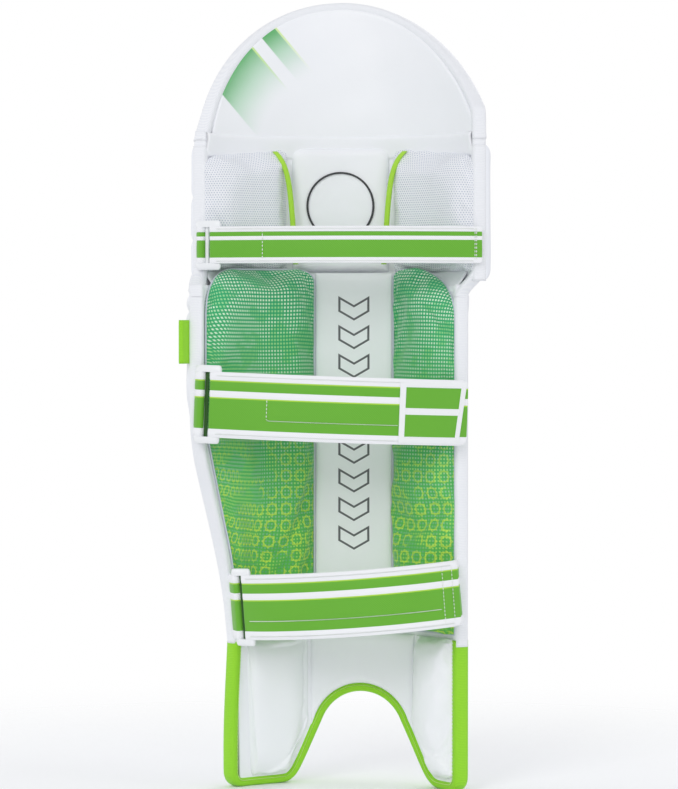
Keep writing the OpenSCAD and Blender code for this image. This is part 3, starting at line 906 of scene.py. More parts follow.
def tape_stitches(name, body, material, path, r, inset, thick):
    """Rows of stitches through a folded tape, one on each face."""
    row, _ = beside(path, inset + 1.7 * MM)
    lines = []
    for face in (-1, 1):
        radial = np.array([[math.sin(s / r), -math.cos(s / r), 0] for s in row[:, 0]])
        spots = radial * (r + face * thick * 0.497) + row[:, 1:] * [0, 0, 1]
        lines.append((spots, radial * face))
    stitches(name, body, material, lines, pitch=3.4 * MM)


def quarter():
    """Sine and one minus cosine over a quarter turn."""
    return [(math.sin(t), 1 - math.cos(t)) for t in np.linspace(0, math.pi / 2, 7)]


def shin_tapes():
    r = (SHIN[0] + SHIN[1]) / 2
    change = span("foot_binding")[5]
    left, right = math.radians(SHIN_A0) * r, math.radians(SHIN_A1) * r
    arc = lambda x: math.asin(min(1, x / r)) * r
    round_r, sole, lap = 14 * MM, 0.5 * MM, 6 * MM
    turns = [math.radians(t) for t in range(18, 163, 12)]
    arch = [(arc(ARCH_X - ARCH_R * math.cos(t)), ARCH_Z + ARCH_R * math.sin(t)) for t in turns]
    heel = [(left + round_r * c, sole + round_r * (1 - s)) for s, c in quarter()]
    toe = [(arc(EDGE_X[1]) - round_r + round_r * s, sole + round_r * c) for s, c in quarter()]

    def tip(x, hand):
        """Corner between the arch and a foot's sole."""
        return [(arc(x) - hand * 11 * MM, sole), (arc(x) - hand * 2 * MM, 3.5 * MM),
                (arc(x + hand * 6 * MM), 13.5 * MM)]

    foot = [(left, change), (left, 60 * MM)] + heel + tip(ARCH_X - ARCH_FOOT, 1) + arch
    foot += tip(ARCH_X + ARCH_FOOT, -1)[::-1] + toe
    foot += [(arc(x), z) for x, z in zip(EDGE_X[2:4], EDGE_Z[2:4])] + [(arc(94.6 * MM), change)]
    edge_tape("foot_tape", "shin_section", LIME, foot, r, *FOOT_TAPE, "binding_lime", "foot_binding")
    tape_stitches("foot_tape_stitches", "shin_section", LIME_THREAD, foot, r, *FOOT_TAPE)
    upper = [(arc(x), z) for x, z in zip(EDGE_X[3:], EDGE_Z[3:]) if z > change] + [(right, SHIN_TOP)]
    upper = [(min(s, right), z) for s, z in [(arc(94.5 * MM), change - lap)] + upper]
    edge_tape("outer_edge_tape", "shin_section", WHITE_TAPE, upper, r, *EDGE_TAPE, "binding_white",
              "shin_binding")
    inner = [(left, SHIN_TOP), (left, 0.3), (left, change - lap)]
    edge_tape("inner_edge_tape", "shin_section", WHITE_TAPE, inner, r, *EDGE_TAPE, "binding_white")


# ---------- front of the knee and the top hat ----------

def roll_arch(t):
    """Each knee roll bows slightly upwards in the middle."""
    return 3.4 * MM * (1 - t * t) - 1.6 * MM


def knee_rolls():
    for i, node in enumerate(ROLLS):
        s = span(node)
        half = (s[5] - s[4]) / 2 + 1.2 * MM
        mid_z = (s[4] + s[5]) / 2

        def place(a, b):
            angle = s[2] + (s[3] - s[2]) * (a + 1) / 2
            pinch = 1 - 0.16 * np.abs(a) ** 8
            return angle, mid_z + roll_arch(a) + b * half * pinch

        def height(a, b, angle, z):
            x = angle * 2.6 * MM
            h = 22 * MM * dome(b, 2.3, 1.9) * ease_in((1 - np.abs(a)) * 0.12, 16 * MM)
            soft = dome(b, 2) * dome(a, 10)
            h += soft * (0.9 * MM * ripple(x, z * 0.7, 101 + i, 70 * MM)
                         + 0.3 * MM * ripple(x, z, 111 + i, 18 * MM))
            # each tack pulls in a small dimple with a wide, shallow hollow round it
            for t in ROLL_TACKS:
                d = np.hypot((a - t) * 0.122, (z - (mid_z + roll_arch(t))))
                h -= 2.1 * MM * groove(d, 3.4 * MM) + 0.9 * MM * groove(d, 9 * MM)
            gather = np.abs(b) ** 6 * (1 - np.abs(b) ** 14)
            h += gather * 0.8 * MM * np.sin(x / (1.9 * MM) + 2 * ripple(x, 0 * x, 7 + i, 40 * MM))
            return np.clip(h, 0, None)

        obj = pad(node + "_pad", "knee_section", PU_KNEE, place, height, KNEE_FACE, 1, (150, 30))
        done(obj, "facing_white", node, *(["knee_roll_cores"] if i == 0 else []))


def knee_tacks():
    """Small knots that pull each roll's cover down to its core."""
    verts, faces = [], []
    seg, up = 10, np.array([0, 0, 1.0])
    for node in ROLLS:
        s = span(node)
        for t in ROLL_TACKS:
            a = s[2] + (s[3] - s[2]) * (t + 1) / 2
            c = at(s[1] - 2.9 * MM, a, (s[4] + s[5]) / 2 + roll_arch(t))
            n = at(1.0, a, 0.0)
            side = np.cross(up, n)
            k = len(verts)
            for r, h in ((1.7, 0.0), (1.5, 0.5), (0.8, 0.85)):
                for j in range(seg):
                    q = 2 * math.pi * j / seg
                    verts.append(c + r * MM * (side * math.cos(q) + up * math.sin(q)) + n * h * MM)
            verts.append(c + n * 0.95 * MM)
            for j in range(seg):
                l = (j + 1) % seg
                faces += [(i + j, i + l, i + seg + l, i + seg + j) for i in (k, k + seg)]
                faces.append((k + 2 * seg + j, k + 2 * seg + l, k + 3 * seg))
            faces.append(tuple(k + j for j in range(seg))[::-1])
    new_object("knee_tacks", verts, faces, "knee_section", GREY_THREAD)


def knee_wings():
    for label, far, hides in (("outer", 0.4, ["knee_wing_foams"]), ("inner", 0, [])):
        node = f"knee_wing_{label}"
        s = span(node)
        low, high = s[4] - 1 * MM, KNEE[5] - 0.6 * MM

        def height(a, b, angle, z):
            h = 8.6 * MM * dome(a, 5, 2.1) * ease_in(z - low, 10 * MM) * ease_in(high - z, 10 * MM)
            for z0 in (low + 40 * MM, low + 80 * MM) if label == "outer" else ():
                h *= 1 - 0.35 * groove(z - z0 + (angle - 45) * 0.25 * MM, 3 * MM)
            return h + dome(a, 4) * dome(b, 6) * 0.7 * MM * ripple(angle * 2.6 * MM, z, 121, 40 * MM)

        place = columns(s[2], s[3] - far, level(low), level(high))
        obj = pad(node + "_pad", "knee_section", PU_KNEE, place, height, KNEE_FACE, 1, (44, 80))
        done(obj, "facing_white", node, *hides)


def knee_layers():
    low, high = KNEE[4] + 1 * MM, KNEE[5] - 1 * MM
    layout = ((KNEE[2] + 0.6, KNEE[3] - 0.6), level(low), level(high), (90, 50))
    shell_sheet("knee_face_sheet", "knee_section", PU_KNEE, KNEE_R, 1, *layout, "facing_white",
                ("knee_facing", "knee_foam_sheet"))
    shell_sheet("knee_inner_sheet", "knee_section", LINING, KNEE_IN, -1, *layout, "lining_white",
                ("knee_lining",), seed=4)
    r = (KNEE_IN + KNEE_R) / 2
    for label, a, order in (("outer", KNEE[3], 1), ("inner", KNEE[2], -1)):
        s = math.radians(a) * r
        path = [(s, low), (s, (KNEE[4] + KNEE[5]) / 2), (s, high)][::order]
        edge_tape(f"knee_{label}_edge_tape", "knee_section", WHITE_TAPE, path, r, 3 * MM, 13.5 * MM,
                  "binding_white")


def hat_ribs():
    parts = islands("hat_ribs")
    pitch = (parts[4][2] + parts[4][3] - parts[2][2] - parts[2][3]) / 4
    middle = (parts[3][2] + parts[3][3]) / 2
    low = HAT[4] - 1.3 * MM
    crease_z = low + 16 * MM

    def roof(angle):
        return hat_roof(angle, TAPE_W - 1 * MM)

    for i in range(len(parts)):
        mid = middle + (i - 3) * pitch

        def place(a, b):
            angle = mid + a * pitch * 0.502
            return angle, low + (roof(angle) - low) * (b + 1) / 2

        def height(a, b, angle, z):
            ends = ease_in(z - low, 8 * MM) * ease_in(roof(angle) - z, 26 * MM)
            body = dome(a, 2.5, 1.9)
            h = 12.2 * MM * body * ends
            h *= 1 - 0.55 * groove(z - crease_z, 4.2 * MM)
            h += body * ends * (0.6 * MM * ripple(angle * 2.6 * MM, z, 131 + i, 50 * MM)
                                + 0.2 * MM * ripple(angle * 2.6 * MM, z, 141 + i, 15 * MM))
            return np.clip(h + side_folds(a, z, 15 + i, ends), 0, None)

        obj = pad(f"top_hat_rib_{i + 1}", "top_hat", PU, place, height, KNEE_FACE, 1, (22, 110))
        done(obj, "facing_white", *(["hat_ribs"] if i == 0 else []))
    hat_side_panels(low, middle, 3.5 * pitch + 0.2)


def hat_side_panels(low, middle, ribs):
    """Flat panels on both sides of the ribs, which reach the angle ribs from the middle."""
    roof = lambda angle: np.maximum(hat_roof(angle, TAPE_W - 2 * MM), low + 5 * MM)

    def height(a, b, angle, z):
        h = 6.5 * MM * dome(a, 5, 2.1) * ease_in(z - low, 8 * MM) * ease_in(roof(angle) - z, 12 * MM)
        return h + dome(a, 4) * dome(b, 6) * 0.6 * MM * ripple(angle * 2.6 * MM, z, 151, 36 * MM)

    for label, a0, a1 in (("outer", middle + ribs, HAT[3] - 0.8), ("inner", HAT[2] + 0.8, middle - ribs)):
        place = columns(a0, a1, level(low), roof)
        obj = pad(f"top_hat_{label}_panel", "top_hat", PU, place, height, KNEE_FACE, 1, (44, 70))
        done(obj, "facing_white")


def hat_layers():
    roof = lambda angle: np.maximum(hat_roof(angle, 4 * MM), HAT[4] + 4 * MM)
    layout = ((HAT[2] + 0.6, HAT[3] - 0.6), level(HAT[4] + 1 * MM), roof, (110, 60))
    shell_sheet("top_hat_face_sheet", "top_hat", PU, KNEE_R, 1, *layout, "facing_white",
                ("hat_facing", "hat_foam_sheet"))
    shell_sheet("top_hat_inner_pad", "top_hat", HAT_LINING, KNEE_IN, -1, *layout, "lining_white",
                ("hat_lining",), thick=4 * MM, waves=0.7 * MM, seed=5)
    r = (KNEE_IN + KNEE_R) / 2
    ends = [(math.radians(a) * r, HAT[4] + 1 * MM) for a in (HAT[3], HAT[2])]
    edge = [(math.radians(a) * r, float(hat_roof(np.array(a), 0.0))) for a in np.linspace(HAT[3], HAT[2], 60)]
    path = ends[:1] + [p for p in edge if p[1] > HAT[4] + 12 * MM] + ends[1:]
    edge_tape("top_hat_edge_tape", "top_hat", WHITE_TAPE, path, r, *EDGE_TAPE, "binding_white", "hat_binding")


def seam_gussets():
    """Cloth that bridges the two fold lines, on the front and on the leg side."""
    knee, hat = ("shin_section", "knee_section"), ("knee_section", "top_hat")
    rows = (("knee_gusset", knee, SHIN_TOP - 7 * MM, KNEE[4] + 6 * MM, SHIN_R - 3 * MM, KNEE_R - 6 * MM,
             SHIN_A0 + 1.5, KNEE[3] - 1, -1),
            ("knee_leg_side_gusset", knee, SHIN_TOP - 9 * MM, KNEE[4] + 12 * MM, LINING_R - 0.2 * MM,
             KNEE_IN - 0.2 * MM, SHIN_A0 + 1, KNEE[3] - 0.5, 1),
            ("top_hat_gusset", hat, KNEE[5] - 8 * MM, HAT[4] + 8 * MM, KNEE_R + 0.3 * MM, KNEE_R + 0.3 * MM,
             KNEE[2] + 1, KNEE[3] - 1, -1),
            ("top_hat_leg_side_gusset", hat, KNEE[5] - 12 * MM, HAT[4] + 9 * MM, KNEE_IN - 0.6 * MM,
             KNEE_IN - 3.2 * MM, KNEE[2] + 1, KNEE[3] - 1, 1))
    nu, nv = 110, 16
    for name, bodies, z0, z1, r0, r1, a0, a1, inward in rows:
        angle, t = np.meshgrid(np.linspace(a0, a1, nu + 1), np.linspace(0, 1, nv + 1), indexing="ij")
        # both ends dip under the pads they are sewn to
        sunk = np.clip(1 - t / 0.2, 0, 1) ** 2 + np.clip((t - 0.8) / 0.2, 0, 1) ** 2
        r = r0 + (r1 - r0) * smoothstep(t) + inward * 2.6 * MM * sunk
        z = z0 + (z1 - z0) * t
        faces = grid_faces(nu, nv) + grid_faces(nu, nv, (nu + 1) * (nv + 1), True)
        rim = (t < 1e-6) | (t > 1 - 1e-6) | (angle <= a0) | (angle >= a1)
        under = at(r - np.where(rim, 0, 1.2 * MM), angle, z)
        verts = np.vstack([at(r, angle, z).reshape(-1, 3), under.reshape(-1, 3)])
        obj = new_object(name, verts, faces, None, LINING)
        tidy_mesh(obj)
        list(bodies)
        z0 + 2 * MM
        z1 - 2 * MM
        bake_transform(obj)
        done(obj, "lining_white")


def edge_bridges():
    """Rim tape that runs on over the two fold lines. Each end is (angle, radius, height)."""
    shin_r, knee_r = (LINING_R + SHIN_R) / 2, (KNEE_IN + KNEE_R) / 2
    knee, hat = ("shin_section", "knee_section"), ("knee_section", "top_hat")
    shin_z, knee_z = SHIN_TOP - 12 * MM, KNEE[4] + 12 * MM
    roll_z, hat_z = KNEE[5] - 10 * MM, HAT[4] + 10 * MM
    for name, bodies, start, end in (
            ("knee_outer", knee, (SHIN_A1 - 1.2, shin_r, shin_z), (KNEE[3] - 1.2, knee_r, knee_z)),
            ("knee_inner", knee, (SHIN_A0 + 1.2, shin_r, shin_z), (KNEE[2] + 1.2, knee_r, knee_z)),
            ("hat_outer", hat, (KNEE[3] - 1.3, knee_r, roll_z), (HAT[3] - 2.2, knee_r, hat_z)),
            ("hat_inner", hat, (KNEE[2] + 1.3, knee_r, roll_z), (HAT[2] + 1.3, knee_r, hat_z))):
        path, frames = [], []
        for t in np.linspace(0, 1, 21):
            k = smoothstep(t)
            a = start[0] + (end[0] - start[0]) * k
            path.append(at(start[1] + (end[1] - start[1]) * k, a, start[2] + (end[2] - start[2]) * t))
            frames.append((at(1.0, a + 90, 0.0), at(1.0, a, 0.0)))
        for i in range(1, len(path) - 1):
            d = unit(path[i + 1] - path[i - 1])
            frames[i] = tuple(unit(f - (f @ d) * d) for f in frames[i])
        profile = ring_profile(8.4 * MM, 13.2 * MM, 18, 3.2)
        obj = sweep(name + "_rim_bridge", None, WHITE_TAPE, path, frames, profile)
        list(bodies)
        start[2] + 6 * MM
        end[2] - 6 * MM
        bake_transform(obj)
        done(obj, "binding_white")


# ---------- leg side: soft pads blown up as cloth ----------

def inflate(obj, base, out, pressure, cap):
    """Blows the pad up as cloth, with the points near its seam and on its back held still."""
    frames, hold, shrink = 20, 2.2 * MM, 0.04
    rest = np.array([v.co for v in obj.data.vertices])
    r = np.hypot(rest[:, 0], rest[:, 1])
    held = (r - base) * out < hold
    group = obj.vertex_groups.new(name="held")
    group.add([int(i) for i in np.where(held)[0]], 1.0, "REPLACE")
    mod = obj.modifiers.new("cloth", "CLOTH")
    s = mod.settings
    s.quality, s.mass = 5, 0.3
    s.tension_stiffness = s.compression_stiffness = 12
    s.shear_stiffness, s.bending_stiffness = 4, 0.25
    s.use_pressure, s.uniform_pressure_force = True, pressure
    s.vertex_group_mass = "held"
    s.shrink_min = -shrink
    s.effector_weights.gravity = 0
    mod.collision_settings.use_collision = False
    mod.collision_settings.use_self_collision = False
    mod.point_cache.frame_start, mod.point_cache.frame_end = 1, frames
    scene = bpy.context.scene
    for f in range(1, frames + 1):
        scene.frame_set(f)
    blown = obj.evaluated_get(bpy.context.evaluated_depsgraph_get())
    shift = np.array([v.co for v in blown.data.vertices]) - rest
    size = np.linalg.norm(shift, axis=1)
    shift *= (np.minimum(size, cap) / np.maximum(size, 1e-9))[:, None]
    shift[held] = 0
    obj.modifiers.remove(mod)
    obj.vertex_groups.clear()
    obj.data.vertices.foreach_set("co", (rest + shift).ravel())
    obj.data.update()
    scene.frame_set(1)


def soft_pad(name, body, material, place, height, r, counts, pressure, cap, slot, *hides):
    """Pad on the leg side that is blown up as cloth and then smoothed."""
    obj = pad(name, None, material, place, height, r, -1, counts, back=0.6 * MM, ease=(0.75, 0.8))
    inflate(obj, r, -1, pressure, cap)
    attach(obj, body)
    mod = obj.modifiers.new("subdivide", "SUBSURF")
    mod.levels = mod.render_levels = 1
    done(obj, slot, *hides)


def corner(angle, a_side, r, size, depth):
    """How far a pad's edge falls at a rounded corner near angle a_side."""
    d = np.clip(1 - np.abs(angle - a_side) * math.radians(1) * r / size, 0, 1)
    return depth * (1 - np.sqrt(np.clip(1 - d * d, 0, 1)))


def shin_bolsters():
    r = BOLSTER_R
    _, _, a0, a1, low, high = span("bolster_outer")
    b0, b1 = span("bolster_inner")[2:4]
    high += 3 * MM

    def outer_floor(q):
        return np.maximum(shin_floor(q, r, 5 * MM, 0), low) + corner(q, a0, r, 14 * MM, 8 * MM)

    def outer_roof(q):
        return high - corner(q, a1, r, 46 * MM, 42 * MM) - corner(q, a0, r, 20 * MM, 10 * MM)

    def inner_floor(q):
        return low + corner(q, b1, r, 14 * MM, 8 * MM) + 0 * q

    def inner_roof(q):
        slope = np.clip((b1 - 12 - q) / (b1 - 12 - b0), 0, 1)
        edge = high - 26 * MM * slope ** 1.6
        return edge - corner(q, b0, r, 26 * MM, 16 * MM) - corner(q, b1, r, 12 * MM, 8 * MM)

    def thinner(angle, z):
        """The outer bolster thins towards the calf's outer edge and towards the ankle."""
        squeeze = 1 - np.clip((z - 0.15) / 0.12, 0, 1)
        foot = 0.35 + 0.65 * ease_in(z - shin_floor(angle, r, 5 * MM, 0), 40 * MM)
        return foot * (1 - squeeze * 0.55 * np.clip((angle - 30) / 25, 0, 1))

    for label, left, right, floor, roof, seed in (("outer", a0, a1, outer_floor, outer_roof, 161),
                                                  ("inner", b0, b1, inner_floor, inner_roof, 163)):
        def height(a, b, angle, z):
            h = 19 * MM * dome(a, 3.2, 2.0) * ease_in(to_edge(z, angle, floor, roof), 26 * MM)
            if label == "outer":
                h *= thinner(angle, z)
            return h * (1 + 0.05 * ripple(angle * 2.2 * MM, z, seed, 60 * MM))

        place, cores = columns(left, right, floor, roof), ["bolster_cores"] if label == "outer" else []
        soft_pad(f"calf_bolster_{label}_pad", "shin_section", BOLSTER, place, height, r, (34, 84), 2.2,
                 6 * MM, "mesh_green", f"bolster_{label}", *cores)
        bolster_piping(label, left, right, floor, roof)


def bolster_piping(label, left, right, floor, roof):
    """Thin seam cord round the foot of a bolster."""
    q = np.linspace(left, right, 60)
    path = [(a, float(roof(np.array(a)))) for a in q] + [(a, float(floor(np.array(a)))) for a in q[::-1]]
    path = [(math.radians(a) * BOLSTER_R, z) for a, z in path]
    flat = resample(np.array(path + path[:1]), 4 * MM)[:-1]
    pts = [at(BOLSTER_R - 0.8 * MM, math.degrees(s / BOLSTER_R), z) for s, z in flat]
    frames = []
    for i, p in enumerate(pts):
        radial = np.array([p[0], p[1], 0]) / BOLSTER_R
        frames.append((unit(np.cross(pts[(i + 1) % len(pts)] - pts[i - 1], radial)), radial))
    obj = sweep(f"calf_bolster_{label}_seam_cord", "shin_section", GREY_THREAD, pts, frames,
                ring_profile(1.8 * MM, 1.8 * MM, 8, 2), closed=True)
    done(obj, "lining_white")


def flat_panel(name, node, body, material, thick, r, sides, floor, roof, seed, counts):
    """Thinly padded panel on the leg side. sides holds its least and greatest angle."""
    def height(a, b, angle, z):
        near = to_edge(z, angle, floor, roof)
        h = thick * dome(a, 6, 2) * ease_in(near, 8 * MM)
        x = angle * 2.2 * MM
        return h + dome(a, 4) * ease_in(near, 12 * MM) * (0.5 * MM * ripple(x, z, seed, 45 * MM)
                                                        + 0.15 * MM * ripple(x, z, seed + 1, 14 * MM))

    done(pad(name, body, material, columns(*sides, floor, roof), height, r, -1, counts), "lining_white", node)


def leg_side_panels():
    s, t = span("channel_strip"), span("ankle_panel")
    flat_panel("channel_strip_panel", "channel_strip", "shin_section", CHANNEL, 5 * MM, BOLSTER_R, s[2:4],
               level(s[4] - 3 * MM), level(s[5]), 171, (30, 140))
    floor = lambda angle: shin_floor(angle, BOLSTER_R, TAPE_W - 2 * MM)
    flat_panel("ankle_centre_panel", "ankle_panel", "shin_section", LINING, 5 * MM, BOLSTER_R, t[2:4], floor,
               level(t[5] + 2 * MM), 173, (60, 50))
    lo = lambda angle: shin_floor(angle, BOLSTER_R, TAPE_W + 3 * MM, 12 * MM)
    for node, hides in (("ankle_pad_outer", ["ankle_pad_cores"]), ("ankle_pad_inner", [])):
        u = span(node)
        hi = level(u[5] + 2 * MM)

        def height(a, b, angle, z):
            return 15 * MM * dome(a, 3.0, 2.0) * ease_in(to_edge(z, angle, lo, hi), 24 * MM)

        soft_pad(node + "_cushion", "shin_section", LINING, columns(u[2] + 0.6, u[3] - 0.6, lo, hi), height,
                 BOLSTER_R, (24, 48), 2.4, 5 * MM, "lining_white", node, *hides)


def knee_leg_side():
    r = KNEE_PAD_R
    for node, hides in (("knee_bolster_outer", ["knee_bolster_cores"]), ("knee_bolster_inner", [])):
        s = span(node)
        free, side = (s[2], s[3]) if hides else (s[3], s[2])
        lo = level(s[4] - 8 * MM)

        def hi(q):
            edge = s[5] + 9 * MM - 9 * MM * np.clip(np.abs(q - free) / abs(side - free), 0, 1) ** 1.5
            return edge - corner(q, side, r, 24 * MM, 9 * MM) - corner(q, free, r, 10 * MM, 3 * MM)

        def height(a, b, angle, z):
            return 17 * MM * dome(a, 3.4, 2.0) * ease_in(to_edge(z, angle, lo, hi), 22 * MM)

        soft_pad(node + "_pad", "knee_section", AIR_MESH, columns(s[2], s[3], lo, hi), height, r, (34, 44),
                 2.2, 5 * MM, "mesh_white", node, *hides)
    p = span("knee_panel")
    roof = lambda q: KNEE[5] - corner(q, p[2], r, 14 * MM, 8 * MM) - corner(q, p[3], r, 14 * MM, 8 * MM)
    flat_panel("knee_centre_panel", "knee_panel", "knee_section", LINING, 8 * MM, r, (p[2] + 0.5, p[3] - 0.5),
               level(p[4] - 8 * MM), roof, 185, (50, 60))
    knee_piping(p)
    knee_ring(p)


def knee_piping(p):
    """Lime cord down the inner edge of each knee bolster."""
    profile = ring_profile(5.2 * MM, 4.6 * MM, 12, 2.2)
    for label, a, lean, hides in (("inner", p[2] - 0.9, 1, ["knee_piping"]), ("outer", p[3] + 0.9, -1, [])):
        pts, frames = [], []
        for t in np.linspace(0, 1, 26):
            z = p[5] + 5 * MM - t * (p[5] - p[4] + 6 * MM)
            r = KNEE_PAD_R - 15.5 * MM + 8 * MM * (1 - t) ** 14
            q = a + lean * (3.6 * t - 2.6) - lean * 4.5 * (1 - t) ** 6
            pts.append(at(r, q, z))
            frames.append((at(1.0, q + 90, 0.0), at(1.0, q, 0.0)))
        cord = sweep(f"knee_piping_{label}", "knee_section", PIPING, pts, frames, profile)
        done(cord, "binding_lime", *hides)


def knee_ring(p):
    """Plain printed ring on the centre panel."""
    mid_a, mid_z, n = (p[2] + p[3]) / 2, (p[4] + p[5]) / 2 + 4 * MM, 96
    r_in, r_out, face = 30.5 * MM, 32.3 * MM, KNEE_PAD_R - 8.6 * MM
    verts, faces = [], []
    for i in range(n):
        t = 2 * math.pi * i / n
        for r, lift in ((r_out, -0.8), (r_out, 0.5), (r_in, 0.5), (r_in, -0.8)):
            q = mid_a + math.degrees(r * math.cos(t) / face)
            verts.append(at(face - lift * MM, q, mid_z + r * math.sin(t)))
        for j in range(4):
            k, l = (i + 1) % n, (j + 1) % 4
            faces.append((4 * i + j, 4 * i + l, 4 * k + l, 4 * k + j))
    done(new_object("knee_ring_print", verts, faces, "knee_section", INK, smooth=False), "lining_white")


# ---------- straps ----------

# Stripes of the webbing from its top edge down: (width in mm, material number, extra thickness in mm).
WEBBING = [WHITE_WEB, GREEN, LIME_LINE, SLOT_SHADOW_GREEN]
WIDE = [(7.5, 0, 0.5), (1.2, 2, 0.1), (8.3, 1, 0.15), (6.0, 0, 0.2), (1.2, 2, 0.1), (27.8, 1, 0.15),
        (8.0, 0, 0.5)]
NARROW = [(5.0, 0, 0.5), (4.0, 1, 0.15), (3.6, 0, 0.2), (16.0, 1, 0.15), (5.4, 0, 0.5)]
WEB_T = 1.6 * MM


class Strap:
    """The bow a strap lies on, read from the CAD webbing and its buckle bars."""

    def __init__(self, label, layout, rim):
        self.label, self.layout, self.rim = label, layout, rim
        peel = JOINTS[label + "_strap_peel"]
        self.body = BODY[label + "_strap"]
        self.tail_body, self.buckle_body = peel["child"], peel["parent"]
        self.up = -unit(np.array(peel["axis"], float))
        self.bar = np.array(peel["pos_m"], float)
        self.tab_bar = np.array(JOINTS[label + "_buckle_swing"]["pos_m"], float)
        self.e1 = unit(np.array([1.0, 0, 0]) - self.up[0] * self.up)
        self.e2 = np.cross(self.up, self.e1)
        x, y, h = self.flat(points(label + "_strap"))
        self.centre, self.r = self.fit(x, y)
        self.width = h.max() - h.min()
        self.bar_r, self.bar_a = self.turn(self.flat(self.bar[None]))
        self.tab_a = self.turn(self.flat(self.tab_bar[None]))[1]
        self.start, self.end = self.reach(label + "_strap")
        self.tip = self.reach(label + "_tail")[1]
        tail_r, _ = self.turn(self.flat(points(label + "_tail")))
        self.tail_r = tail_r.max() - WEB_T

    def flat(self, p):
        q = p - self.bar
        return q @ self.e1, q @ self.e2, q @ self.up

    def fit(self, x, y):
        """Centre and inner radius of the two concentric arcs the webbing's faces lie on."""
        a = np.stack([x, y, np.ones_like(x)], axis=1)
        for _ in range(5):
            c = np.linalg.lstsq(a, x * x + y * y, rcond=None)[0][:2] / 2
            r = np.hypot(x - c[0], y - c[1])
            outer = (r > (r.min() + r.max()) / 2).astype(float)
            a = np.stack([x, y, 1 - outer, outer], axis=1)
        return c, float(r.min())

    def turn(self, flat):
        x, y = flat[0] - self.centre[0], flat[1] - self.centre[1]
        r, a = np.hypot(x, y), np.arctan2(x, y)
        return (float(r[0]), float(a[0])) if len(r) == 1 else (r, a)

    def reach(self, node):
        """First and last distance of a node along the bow, measured from the strap's bar."""
        _, a = self.turn(self.flat(points(node)))
        d = (self.bar_a - a) * self.r
        return float(d.min()), float(d.max())

    def point(self, d, h, r):
        """Point at distance d along the bow from the bar, height h across the webbing and radius r."""
        a = self.bar_a - np.asarray(d) / self.r
        x = self.centre[0] + r * np.sin(a)
        y = self.centre[1] + r * np.cos(a)
        x, y, h = np.broadcast_arrays(x, y, h)
        return self.bar + x[..., None] * self.e1 + y[..., None] * self.e2 + h[..., None] * self.up

    def normal(self, d):
        a = self.bar_a - np.asarray(d) / self.r
        return np.sin(a)[..., None] * self.e1 + np.cos(a)[..., None] * self.e2

    def forward(self, d):
        """Direction of the bow towards the sewn end."""
        a = self.bar_a - np.asarray(d) / self.r
        return -np.cos(a)[..., None] * self.e1 + np.sin(a)[..., None] * self.e2


def stripe_rows(layout, width):
    """Rows across striped webbing as (height, lift), and the material number of each gap between two rows."""
    rows, kinds = [], []
    h = width / 2
    total = sum(w for w, _, _ in layout)
    for n, (w, kind, lift) in enumerate(layout):
        w = w * width / total
        for t, crown in ((0.0, -0.12), (0.1, 0.0), (0.5, 0.1), (0.9, 0.0), (1.0, -0.12)):
            rows.append((h - t * w, (lift * (1 if 0 < t < 1 else 0.6) + crown * min(1, w / (2 * MM))) * MM))
        kinds += [kind] * 4 + [layout[min(len(layout) - 1, n + 1)][1]]
        h -= w
    thin = 0.35 * MM
    rows[0], rows[-1] = (rows[0][0], rows[0][1] - thin), (rows[-1][0], rows[-1][1] - thin)
    return rows, kinds[:-1]


def webbing(name, body, strap, path, normals, layout, thick=WEB_T, widths=None, materials=None, swell=0.0,
            slot="webbing_green", hides=()):
    """Striped strip along path (middle of its thickness); each stripe is its own run of faces."""
    path, normals = np.asarray(path), np.asarray(normals)
    rows, kinds = stripe_rows(layout, strap.width)
    n, m = len(path), len(rows)
    if widths is None:
        widths = np.full(n, strap.width / 2)
    run = np.r_[0, np.cumsum(np.linalg.norm(np.diff(path, axis=0), axis=1))]
    verts, uv = [], []
    for face in (1, -1):
        for i in range(n):
            for c, lift in rows:
                z = max(-widths[i], min(widths[i], c))
                wave = swell * math.sin(run[i] / (9 * MM) + c / (14 * MM))
                off = face * (thick / 2 + max(-0.45 * thick, lift * (1 if face > 0 else 0.35))) + wave
                verts.append(path[i] + normals[i] * off + strap.up * z)
                uv.append((run[i], c))
    slab = slab_faces(n, m)
    obj = new_object(name, verts, [f[0] for f in slab], None, materials or WEBBING, uv=uv)
    obj.data.polygons.foreach_set("material_index", [kinds[min(j, m - 2)] for _, _, j, _ in slab])
    tidy_mesh(obj, 2e-6)
    obj.data.set_sharp_from_angle(angle=math.radians(48))
    if body:
        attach(obj, body)
    return done(obj, slot, *hides)


def rim_point(strap, side):
    """Where a strap's sewn end (side -1) or tab (side 1) meets the edge of the pad."""
    probe = strap.point(strap.end if side < 0 else strap.start - 26 * MM, 0, strap.r)
    r0, r1, a0, a1 = strap.rim
    if side < 0:
        return at((r0 + r1) / 2, a0 + 0.6, probe[2])
    x = np.interp(probe[2], EDGE_Z, EDGE_X)
    if strap.body == "shin_section" and x < 0.12:
        return at(r0 - 0.5 * MM, math.degrees(math.asin((x - 4 * MM) / r0)), probe[2])
    return at((r0 + r1) / 2, a1 - 0.6, probe[2])


